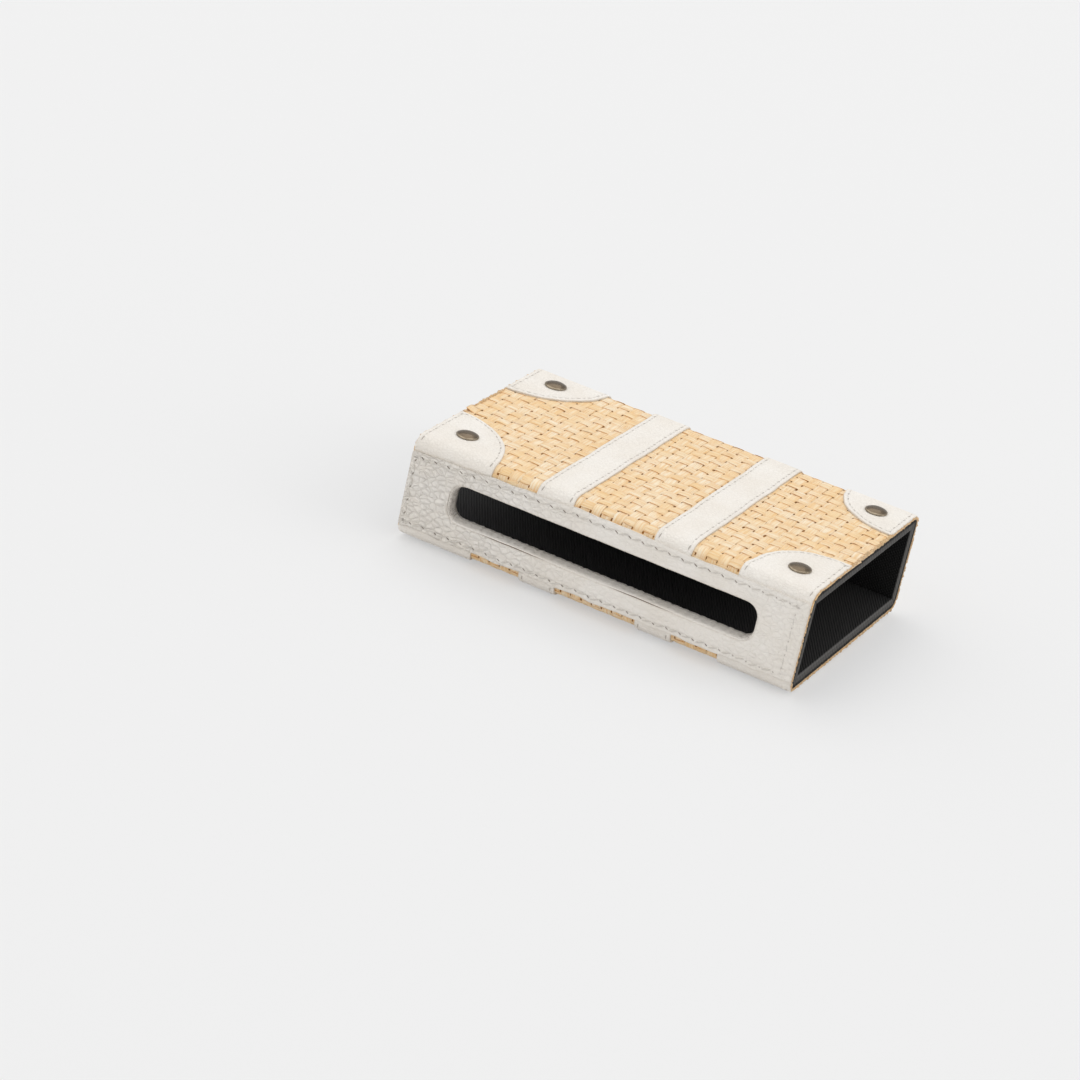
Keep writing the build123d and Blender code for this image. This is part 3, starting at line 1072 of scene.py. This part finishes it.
def seam_marks(points, seams, pitch, softness, tail):
    """The mark that places needle slits: (stitches along, mm across, softness) of the nearest seam.

    Each seam is turned so that the sheet's middle is on its positive side. Points far from a seam,
    or beyond its ends, go far out on that side, so no false seam shows between two seams. Towards
    the right end the softness rises by tail.
    """
    best, found = np.inf, 0.0
    middle = points.reshape(-1, 2).mean(axis=0)[None]
    for seam, soft in zip(seams, softness):
        along, across = beside(seam, points)
        turned = float(np.sign(beside(seam, middle)[1][0]))
        soft = np.clip(soft + tail * soft_step(points[..., 0], 28 * MM, 50 * MM), 0, 0.82)
        seen = np.stack([along / pitch, across / MM, soft], axis=-1)
        seen[..., :2] *= turned
        gap = edge_gap(seam, points)
        away = (gap > 2 * MM) | (gap > np.abs(across) + 0.6 * MM)
        seen[..., 1] = np.where(away, NO_SEAM, seen[..., 1])
        found = np.where((gap < best)[..., None], seen, found)
        best = np.minimum(gap, best)
    return found


def leather_sheet(name, grid, edges, seams, settings, finish, node, thickness=LEATHER,
                  pitch=None, extra=0.0, ring=False, inner=-0.12 * MM, softness=(0.0, 0.0),
                  furrow=0.015 * MM, roll=None, tail=0.0):
    """One leather piece from a grid of (x, run), its cut edges and its seams.

    The outer face lies at the leather's thickness, rolled down at the cut edges, a little crowned,
    and drawn in along the seams. The inner face lies just under the raffia's crowns.
    """
    x, run = grid[..., 0], grid[..., 1]
    gap = np.min([edge_gap(edge, grid) for edge in edges], axis=0)
    seam_gap = np.min([edge_gap(seam, grid) for seam in seams], axis=0)
    lift = rolled(gap, thickness, roll or settings.roll)
    lift = lift + 0.035 * MM * soft_step(gap, 0.3 * MM, 1.2 * MM)
    lift = lift - furrow * np.exp(-((seam_gap / (0.45 * MM)) ** 2)) * soft_step(gap, 0, 0.6 * MM)
    lift = lift + drift(x + 0.6 * run, 5, 9 * MM, 0.03 * MM) + extra
    edge = np.exp(-gap / (0.5 * MM))
    seam = seam_marks(grid, seams, pitch or settings.fine_pitch, softness, tail)
    far = seam.copy()
    far[..., 1] = NO_SEAM
    make_piece(
        name, finish, np.stack([on_wrap(x, run, lift), on_wrap(x, run, inner)]),
        shell_faces(x.shape, ring), "white_leather", (node,),
        edge=np.stack([edge, edge]), seam=np.stack([seam, far]),
    )


def pale_leather(settings):
    """The finer leather of straps, patches and facing."""
    return finish_named(
        "pale_leather", leather_finish, settings, settings.fine_pitch, 1.2 * MM, 0.6, 0.22 * MM
    )


def tongue(clear):
    """How far leather is thinned where it is tucked under the band; clear is its way out of it."""
    return -0.2 * MM * (1 - soft_step(clear, -0.9 * MM, 0.3 * MM))


class HOLDER_OT_straps(bpy.types.Operator):
    """Lays the two leather straps round the sleeve, tucked under the front band"""

    bl_idname = "holder.straps"
    bl_label = "Leather straps"

    def execute(self, context):
        settings = context.scene.holder_leather
        run = np.linspace(WEAVE_START, WEAVE_END, 560)
        thin = tongue(np.minimum(run - BAND_TOP, GIRTH + BAND_FOOT - run))[:, None]
        inset = 1.15 * MM
        shown = slice(9, -9)
        stitches = []
        for which, node in enumerate(("left_strap", "right_strap")):
            low, high = span(node)
            left = low[0] + drift(run, 31 + which, 30 * MM, 0.16 * MM)
            right = high[0] + drift(run, 41 + which, 26 * MM, 0.16 * MM)
            shares = edge_shares(high[0] - low[0], 0.55 * MM)
            x = left[:, None] + (right - left)[:, None] * shares
            grid = np.stack([x, np.broadcast_to(run[:, None], x.shape)], axis=-1)
            edges = [np.stack([edge, run], -1) for edge in (left, right)]
            seams = [np.stack([edge, run], -1)[shown] for edge in (left + inset, right - inset)]
            leather_sheet(
                node.replace("strap", "leather_strap"), grid, edges, seams, settings,
                pale_leather(settings), node, extra=thin,
            )
            stitches.append(fine_stitches(seams, settings))
        stitch_piece("strap_stitching", stitches, settings)
        return {"FINISHED"}


def coons(bottom, top, left, right):
    """A grid between four sides: two ruled blends of opposite sides, less the corners' blend."""
    u = np.linspace(0, 1, len(bottom))[None, :, None]
    v = np.linspace(0, 1, len(left))[:, None, None]
    ruled = (1 - v) * bottom[None] + v * top[None] + (1 - u) * left[:, None] + u * right[:, None]
    corners = (1 - u) * (1 - v) * bottom[0] + u * (1 - v) * bottom[-1]
    corners = corners + (1 - u) * v * top[0] + u * v * top[-1]
    return ruled - corners


# Each patch's width and reach as shares of its radius, and the fullness of its curve
PATCH_SHAPES = {
    "top_front_left_patch": (0.95, 1.05, 1.95),
    "top_front_right_patch": (0.85, 1.05, 2.6),
    "top_back_left_patch": (1.02, 1.045, 2.0),
    "top_back_right_patch": (0.945, 0.96, 2.1),
    "bottom_front_left_patch": (0.90, 1.0, 2.0),
    "bottom_front_right_patch": (0.86, 1.0, 2.3),
    "bottom_back_left_patch": (1.0, 1.0, 2.0),
    "bottom_back_right_patch": (0.96, 1.0, 2.1),
}
PATCH_HALF = 120
FLAP_DEPTH = 7.0 * MM
FLAP_CORNER = 5.0 * MM
RIVET_RADIUS = 3.1 * MM


def patch_sides(wide, reach, fullness, back):
    """The outline of a corner patch, as (distance from the end, run) along four sides.

    In plan the patch is a quarter of a rounded oval about the sleeve's corner: wide and reach times
    the cosine and sine of an angle, each to the power two over the fullness. Each plan distance is
    looked up as a run on the wrap. A front patch goes on down under the band; a back patch folds
    over the edge and ends in a flap with a rounded corner.
    """
    angle = np.linspace(0, QUARTER, 2 * PATCH_HALF + 1)
    away = wide * np.cos(angle) ** (2 / fullness)
    plan = reach * np.sin(angle) ** (2 / fullness)
    if back:
        runs = np.linspace(STRETCH_STARTS[3] - reach - TURN, STRETCH_STARTS[4], 2001)
        deep = (BACK + LEATHER) - on_wrap(0.0, runs, LEATHER)[..., 1]
        run = np.interp(plan, deep[::-1], runs[::-1])
        foot = STRETCH_STARTS[4] + FLAP_DEPTH - WRAP_RADIUS - LEATHER
        bow = np.linspace(0, QUARTER, 61)
        turned = np.stack([np.sin(bow), np.cos(bow)], -1)
        corner = np.array([wide, foot]) - FLAP_CORNER + FLAP_CORNER * turned
        bottom = np.concatenate([[[0, foot]], corner[:31]])
        above_corner = run[:PATCH_HALF + 1] < foot - FLAP_CORNER - 0.2 * MM
        lower = corner[30:]
    else:
        runs = np.linspace(STRETCH_STARTS[1], STRETCH_STARTS[2] + reach, 2001)
        deep = on_wrap(0.0, runs, LEATHER)[..., 1] - (FRONT - LEATHER)
        run = np.interp(plan, deep, runs)
        foot = WEAVE_START
        bottom = np.array([[0, foot], [wide, foot]])
        above_corner = np.ones(PATCH_HALF + 1, bool)
        lower = bottom[1:]
    curve = np.stack([away, run], -1)
    right = np.concatenate([lower, curve[:PATCH_HALF + 1][above_corner]])
    left = np.array([[0, foot], [0, run[-1]]])
    return bottom, curve[PATCH_HALF:][::-1], left, right


class HOLDER_OT_patches(bpy.types.Operator):
    """Shapes the eight riveted corner patches"""

    bl_idname = "holder.patches"
    bl_label = "Corner patches"

    def execute(self, context):
        settings = context.scene.holder_leather
        stitches = []
        for which, node in enumerate(PATCH_SHAPES):
            seams = self.one_patch(node, 51 + which, settings)
            stitches.append(fine_stitches(seams, settings))
        stitch_piece("patch_stitching", stitches, settings)
        return {"FINISHED"}

    def one_patch(self, node, seed, settings):
        """One patch on its own corner, and its seams.

        It is drawn as (distance from the end, run) and then placed; the lower side's run is the
        upper's, mirrored.
        """
        upper, back = node.startswith("top"), "_back_" in node
        sign = -1 if "_left_" in node else 1
        low, high = span(node)
        wide, reach, fullness = PATCH_SHAPES[node]
        radius = high[0] - low[0]
        bottom, top, left, right = patch_sides(wide * radius, reach * radius, fullness, back)

        def wavy(points):
            """Lets an outline wander sideways, less towards the sleeve's end."""
            away, run = points[..., 0], points[..., 1]
            swing = drift(run + 0.7 * away, seed, 17 * MM, 0.22 * MM)
            return np.stack([away + swing * soft_step(away, 0, 4 * MM), run], -1)

        def placed(points):
            """The same points as (x, run) on the sleeve."""
            run = points[..., 1] if upper else GIRTH - points[..., 1]
            return np.stack([sign * (SLEEVE_END - points[..., 0]), run], -1)

        across, up = edge_shares(24 * MM, 0.5 * MM), edge_shares(30 * MM, 0.5 * MM)
        grid = wavy(
            coons(resample(bottom, across), resample(top, across), resample(left, up),
                  resample(right, up))
        )
        edge_in = wavy(evenly(np.concatenate([right, top[::-1][1:]]), 220))
        end_edge = evenly(left, 160)
        edges = [edge_in, end_edge] + ([wavy(evenly(bottom, 90))] if back else [])
        step = np.gradient(edge_in, axis=0)
        step = step / np.linalg.norm(step, axis=1, keepdims=True)
        inset = (-1.2 if back else 1.2) * MM
        inner = edge_in + inset * np.stack([-step[:, 1], step[:, 0]], -1)
        inner = inner[inner[:, 0] > 1.3 * MM]
        end_seam = end_edge + np.array([1.2 * MM, 0])
        clear = 2.2 * MM
        if back:
            low_run = end_seam[:, 1].min() + clear
            high_run = end_edge[:, 1].max() - 1.3 * MM
        else:
            low_run = BAND_TOP + 0.4 * MM
            high_run = end_seam[:, 1].max() - clear
            inner = inner[inner[:, 1] > low_run]
        end_seam = end_seam[(end_seam[:, 1] > low_run) & (end_seam[:, 1] < high_run)]
        seams = [placed(evenly(inner, 200)), placed(evenly(end_seam, 120))]

        low, high = span("top_rivets" if upper else "underside_rivets")
        rivet_y = high[1] - RIVET_RADIUS if back else low[1] + RIVET_RADIUS
        rivet_x = sign * (high[0] - RIVET_RADIUS)
        on_sleeve = placed(grid)
        x, y, z = np.moveaxis(on_wrap(on_sleeve[..., 0], on_sleeve[..., 1], LEATHER), -1, 0)
        out = np.maximum(np.hypot(x - rivet_x, y - rivet_y) - RIVET_RADIUS, 0)
        level = np.abs(z - MIDDLE_Z) > (TOP - MIDDLE_Z) * 0.97
        dimple = -0.16 * MM * np.exp(-(out / (0.9 * MM)) ** 2) * level
        if not back:
            dimple = dimple + tongue(grid[..., 1] - BAND_TOP)
        leather_sheet(
            node.replace("patch", "leather_patch"), on_sleeve, [placed(edge) for edge in edges],
            seams, settings, pale_leather(settings), node, extra=dimple,
        )
        return seams


SLOT_CORNER = 4.2 * MM
RING_COUNTS = (330, 56)


def ring_curve(low, high, radius):
    """A rounded rectangle from low to high as a closed row of points, anticlockwise.

    Each side runs from the middle of one corner's round to the middle of the next and has its own
    fixed count, so rings of different sizes match point for point.
    """
    middles = np.array(
        [(high[0] - radius, high[1] - radius), (low[0] + radius, high[1] - radius),
         (low[0] + radius, low[1] + radius), (high[0] - radius, low[1] + radius)]
    )
    bow = np.linspace(-math.pi / 4, math.pi / 4, 25)

    def arc(which, angles):
        """Points on one corner's round."""
        return middles[which % 4] + radius * np.stack([np.cos(angles), np.sin(angles)], -1)

    sides = []
    for k in range(4):
        turn = math.pi / 4 + k * QUARTER
        path = np.concatenate([arc(k, turn + bow[12:]), arc(k + 1, turn + QUARTER + bow[:13])])
        shares = np.linspace(0, 1, RING_COUNTS[k % 2], endpoint=False)
        sides.append(resample(path, shares))
    return np.concatenate(sides)


BAND_CORNER = 0.9 * MM
TOP_DROPS_X = np.array([-57.5, -35, -20, -10, 0, 13, 24, 37, 57.5]) * MM
TOP_DROPS = np.array([4.0, 3.1, 2.6, 2.05, 2.1, 2.25, 2.65, 2.6, 2.7]) * MM


class HOLDER_OT_front_band(bpy.types.Operator):
    """Makes the front band, with its wavy top edge, slot and heavy stitching"""

    bl_idname = "holder.front_band"
    bl_label = "Front band"

    def execute(self, context):
        settings = context.scene.holder_leather
        pitch = settings.band_pitch
        thickness = -BAND_LOW[1] + FRONT
        slot_low = np.array([SLOT_LOW[0], SLOT_LOW[2] - MIDDLE_Z])
        slot_high = np.array([SLOT_HIGH[0], SLOT_HIGH[2] - MIDDLE_Z])
        low = np.array([BAND_LOW[0], float(front_run(BAND_LOW[2], thickness))])
        high = np.array([BAND_HIGH[0], float(front_run(BAND_HIGH[2], thickness))])
        near = np.array([0, 0.03, 0.09, 0.18, 0.32, 0.55, 0.9]) * MM
        far = np.array([2.6, 2.1, 1.7, 1.3, 0.95, 0.65, 0.4, 0.24, 0.12, 0.04, 0]) * MM
        rows = [ring_curve(slot_low - d, slot_high + d, SLOT_CORNER + d) for d in near]
        outer = [ring_curve(low + d, high - d, BAND_CORNER) for d in far]
        shares = np.linspace(0, 1, 14)[1:-1]
        between = [rows[-1] + (outer[0] - rows[-1]) * share for share in shares]

        def wavy(points):
            """Moves the upper half to the band's wavy top edge, and lets the other edges wander."""
            x, run = points[..., 0], points[..., 1]
            drop = np.interp(x, TOP_DROPS_X, TOP_DROPS) + drift(x, 61, 13 * MM, 0.16 * MM)
            edge = front_run(LEATHER_TOP - drop, thickness)
            weight = soft_step(run, slot_high[1], high[1])
            foot = soft_step(-run, -slot_low[1], -low[1]) * drift(x, 62, 15 * MM, 0.22 * MM)
            return np.stack([x, run + (edge - high[1]) * weight + foot], -1)

        def seam_row(x, run):
            """A level row of seam points, moved as the edges are."""
            return wavy(np.stack([x, np.full_like(x, run)], -1))

        grid = wavy(np.stack(rows + between + outer))
        outline, slot_edge = (np.concatenate([ring, ring[:1]]) for ring in (outer[-1], rows[0]))
        x = np.linspace(BAND_LOW[0] + 1.4 * MM, BAND_HIGH[0] - 3.3 * MM, 330)
        top_row, foot_row = seam_row(x, high[1] - 1.5 * MM), seam_row(x, low[1] + 1.25 * MM)
        rise = np.linspace(0.03, 0.97, 90)[:, None]
        left_row, right_row = (
            foot_row[end] + (top_row[end] - foot_row[end]) * rise for end in (0, -1)
        )
        seams = [top_row, foot_row[::-1], right_row[::-1], left_row]
        finish = finish_named(
            "band_leather", leather_finish, settings, pitch, 2.1 * MM, 1.0, 0.58 * MM, True
        )
        leather_sheet(
            "front_leather_band", grid, [wavy(outline), slot_edge], seams, settings, finish,
            "front_band", thickness, pitch, ring=True, inner=0.02 * MM,
            softness=(0.05, 0.15, 0.60, 0.25), furrow=0.08 * MM, roll=0.12 * MM, tail=0.5,
        )
        gap = 0.35 * MM
        firm = stitch_row(
            [top_row, foot_row[::-1], left_row], pitch, settings.thread_width, 0.95 * MM,
            thickness - 0.06 * MM, gap,
        )
        sunk = stitch_row(seams[2:3], pitch, 0.34 * MM, 0.40 * MM, thickness - 0.12 * MM, gap)
        stitch_piece("band_stitching", [firm, sunk], settings)
        return {"FINISHED"}


class HOLDER_OT_slot_facing(bpy.types.Operator):
    """Bends the leather facing round inside the slot"""

    bl_idname = "holder.slot_facing"
    bl_label = "Slot facing"

    def execute(self, context):
        settings = context.scene.holder_leather
        low, high = SLOT_LOW[[0, 2]], SLOT_HIGH[[0, 2]]
        thick = 0.6 * MM
        turn = np.linspace(0, QUARTER, 8)
        # The facing's section, from its hidden front lip round the slot's edge and back
        inward = np.concatenate([[0, 0], thick * np.sin(turn), [thick] * 3, [0.3 * MM, 0, 0]])
        depth = np.concatenate(
            [[1.6 * MM, 0.8 * MM], 1.1 * MM * (1 - np.cos(turn)),
             np.array([2.0, 3.0, 4.2, 4.35, 4.35, 2.5]) * MM]
        )
        hairline_row = (np.arange(len(depth)) == 3)[:, None]
        curves = np.stack([ring_curve(low + d, high - d, SLOT_CORNER - d) for d in inward])
        x, z = curves[..., 0], curves[..., 1]
        inward, depth = inward[:, None], depth[:, None]
        reach = (high[1] - low[1]) / 2
        foot = soft_step((low[1] + high[1]) / 2 - z[0], 0.72 * reach, 0.98 * reach)
        open_seam = sum(
            np.exp(-(((x[0] - middle * MM) / (half * MM)) ** 4))
            for middle, half in ((-25, 9), (13, 8))
        )
        recess = 0.40 * MM - (0.34 - 0.12 * open_seam) * MM * foot
        swell = drift(x, 71, 12 * MM, 0.10 * MM) + recess
        y = SLOT_LOW[1] - 0.15 * MM + depth + swell * (depth < 1.5 * MM)
        rough = drift(x, 72, 2.6 * MM, 0.14 * MM) * foot
        heights = z + rough * ((depth > 1.05 * MM) & (inward > 0.55 * MM))
        points = np.stack([x, np.clip(y, SLOT_LOW[1], SLOT_HIGH[1]), heights], -1)
        numbers = numbered(x.shape)
        closed = np.concatenate([numbers, numbers[:1]], axis=0)
        none = np.zeros(points.shape)
        none[..., 1] = NO_SEAM
        # Painted shade on the facing: the edge mark darkens it deeper in the slot, less on its
        # foot; the open seam along the foot and the walls other than the foot are darkened too, and
        # dark specks lie on those walls
        edge = soft_step(depth, 1.0 * MM, 4.4 * MM) * (0.9 - 0.5 * foot)
        hairline_shade = ((inward < 0.05 * MM) | hairline_row) * foot * np.clip(open_seam, 0, 1)
        wall = (depth > 0.05 * MM) * (1 - foot)
        specks = soft_step(drift(x + 3 * z + 2 * depth, 73, 1.1 * MM, 1.0), 0.25, 0.6)
        make_piece(
            "slot_leather_facing", pale_leather(settings), points, [grid_quads(closed, True)],
            "white_leather", ("slot_facing",), edge=edge, seam=none,
            soil=np.clip(hairline_shade + wall * (0.16 + 0.60 * specks), 0, 1),
        )
        return {"FINISHED"}


class HOLDER_OT_rivets(bpy.types.Operator):
    """Turns the domed rivets"""

    bl_idname = "holder.rivets"
    bl_label = "Rivets"

    def execute(self, context):
        settings = context.scene.holder_rivets
        cap, tall = RIVET_RADIUS, 0.95 * MM
        dome = np.linspace(0.12, 0.95, 14)
        radius = (np.concatenate([dome, [0.985, 1.0, 0.985, 0.9, 0.3]]) * cap)[:, None]
        crown = 1 - 0.80 * dome**settings.fullness
        height = (np.concatenate([crown, [0.22, 0.12, 0.0, -0.15, -0.15]]) * tall)[:, None]
        angle = np.linspace(0, 2 * math.pi, 40, endpoint=False)
        shape = (4, len(radius), len(angle))
        numbers = numbered(shape)
        faces = [grid_quads(numbers, True), numbers[:, 0, :], numbers[:, -1, ::-1]]
        # Marks the outer ring of each cap for wear and a painted highlight
        edge = np.broadcast_to(soft_step(radius, 0.72 * cap, cap), shape)
        for side, up in (("top", 1), ("underside", -1)):
            low, high = span(f"{side}_rivets")
            base = high[2] - tall if up > 0 else low[2] + tall
            spots_x, spots_y = ((low[k] + cap, high[k] - cap) for k in (0, 1))
            x, y = np.array([(x, y) for x in spots_x for y in spots_y]).T[..., None, None]
            points = np.broadcast_arrays(
                x + radius * np.cos(angle), y + radius * np.sin(angle), base + up * height
            )
            make_piece(
                f"{side}_rivet_caps", finish_named("aged_brass", rivet_finish, settings),
                np.stack(points, -1), faces, "aged_brass", (f"{side}_rivets",), edge=edge,
            )
        return {"FINISHED"}


class HOLDER_OT_lining(bpy.types.Operator):
    """Finishes the cloth lining and the boards, which keep their own shapes"""

    bl_idname = "holder.lining"
    bl_label = "Lining and boards"

    def execute(self, context):
        settings = context.scene.holder_lining
        cloth = finish_named("lining_cloth", cloth_finish, settings)
        board = finish_named("grey_board", board_finish, settings)
        for side in ("top", "back", "bottom", "front"):
            put_on(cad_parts[f"{side}_lining"], cloth)
            put_on(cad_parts[f"{side}_board"], board)
        return {"FINISHED"}


# ---------------------------------------------------------------- stage

# Each lamp's place and size in metres
LAMPS = {
    "key": ((-0.75, 0.95, 2.75), 3.0),
    "fill": ((-1.5, -2.7, 2.1), 2.7),
    "side": ((2.7, 0.7, 1.5), 2.2),
}
# The camera's right, up and back directions and its place, as measured for the view
CAMERA = (
    (0.8712252981, 0.4465156640, 0.2039368571),
    (-0.3545777287, 0.2851247324, 0.8904934145),
    (0.3394718164, -0.8481318581, 0.4067323900),
    (0.308755, -0.851537, 0.406060),
)


def set_up(thing, right, up, back, place):
    """Puts a lamp or camera at its place, with its own right, up and back directions."""
    turned = np.eye(4)
    turned[:3] = np.stack([right, up, back, place], axis=-1)
    thing.matrix_world = Matrix(turned.tolist())


class HOLDER_OT_stage(bpy.types.Operator):
    """Sets the pale floor, the soft lamps and the camera"""

    bl_idname = "holder.stage"
    bl_label = "Stage"

    def execute(self, context):
        settings = context.scene.holder_stage
        scene = context.scene
        self.floor(settings)
        self.lamps(scene, settings)
        data = bpy.data.cameras.new("camera")
        data.lens = settings.focal
        data.sensor_width = 36.0
        data.clip_start, data.clip_end = 0.01, 50.0
        camera = new_object("camera", data)
        set_up(camera, *CAMERA)
        scene.camera = camera
        scene.view_settings.view_transform = "Standard"
        return {"FINISHED"}

    def floor(self, settings):
        """A thick sheet; the camera and reflections see it under an even white veil."""
        side = np.linspace(-4, 4, 9)
        x, y = np.meshgrid(side, side)
        points = np.stack([np.stack([x, y, 0 * x], -1), np.stack([x, y, 0 * x - 0.05], -1)])
        mesh = bpy.data.meshes.new("floor")
        mesh.from_pydata(points.reshape(-1, 3).tolist(), [], shell_faces(x.shape)[0].tolist())
        mesh.update()
        floor = new_object("floor", mesh)
        finish = Finish("pale_floor", {"Roughness": 0.9, "Specular IOR Level": 0.1})
        rays = finish.results(finish.node("LightPath"))
        seen = finish.sum("MAXIMUM", rays["Is Camera Ray"], rays["Is Glossy Ray"])
        seen = finish.sum("MAXIMUM", seen, rays["Is Transmission Ray"])
        veil = {"Emission Color": (1.0, 1.0, 1.0, 1.0), "Emission Strength": seen * settings.veil}
        finish.fill(finish.surface, veil)
        veiled = shaded(settings.floor, 1 - settings.veil / 0.87)
        put_on(floor, finish.cover(finish.mix(seen, settings.floor, veiled)))

    def lamps(self, scene, settings):
        """A broad key from above on the left, a low fill, a side lamp at the right, an even sky."""
        world = bpy.data.worlds.new("even_sky")
        world.use_nodes = True
        sky = world.node_tree.nodes["Background"].inputs
        sky["Color"].default_value = (1, 1, 1, 1)
        sky["Strength"].default_value = settings.sky
        scene.world = world
        for name, (place, size) in LAMPS.items():
            light = bpy.data.lights.new(f"{name}_lamp", "AREA")
            light.energy = getattr(settings, name)
            light.size = size
            back = np.array(place) / np.linalg.norm(place)
            right = np.cross((0, 0, 1), back)
            right = right / np.linalg.norm(right)
            set_up(new_object(f"{name}_lamp", light), right, np.cross(back, right), back, place)


# ---------------------------------------------------------------- panel and registration


class HOLDER_PT_panel(bpy.types.Panel):
    """Lists the steps that make the matchbox holder"""

    bl_idname = "HOLDER_PT_panel"
    bl_label = "Matchbox holder"
    bl_space_type = "VIEW_3D"
    bl_region_type = "UI"
    bl_category = "Matchbox holder"

    def draw(self, context):
        for operator in OPERATORS:
            self.layout.operator(operator.bl_idname)


SETTINGS = {
    "holder_raffia": RaffiaSettings,
    "holder_leather": LeatherSettings,
    "holder_lining": LiningSettings,
    "holder_rivets": RivetSettings,
    "holder_stage": StageSettings,
}
OPERATORS = (
    HOLDER_OT_raffia,
    HOLDER_OT_straps,
    HOLDER_OT_patches,
    HOLDER_OT_front_band,
    HOLDER_OT_slot_facing,
    HOLDER_OT_rivets,
    HOLDER_OT_lining,
    HOLDER_OT_stage,
)


def register():
    """Registers the settings, the operators and the panel."""
    for name, group in SETTINGS.items():
        bpy.utils.register_class(group)
        setattr(bpy.types.Scene, name, PointerProperty(type=group))
    for operator in OPERATORS:
        bpy.utils.register_class(operator)
    bpy.utils.register_class(HOLDER_PT_panel)


def unregister():
    """Takes away what register added."""
    bpy.utils.unregister_class(HOLDER_PT_panel)
    for operator in reversed(OPERATORS):
        bpy.utils.unregister_class(operator)
    for name, group in reversed(SETTINGS.items()):
        delattr(bpy.types.Scene, name)
        bpy.utils.unregister_class(group)


def main():
    """Makes everything in order."""
    register()
    bpy.ops.holder.stage()
    bpy.ops.holder.raffia()
    bpy.ops.holder.straps()
    bpy.ops.holder.patches()
    bpy.ops.holder.front_band()
    bpy.ops.holder.slot_facing()
    bpy.ops.holder.rivets()
    bpy.ops.holder.lining()


if __name__ == "__main__":
    main()
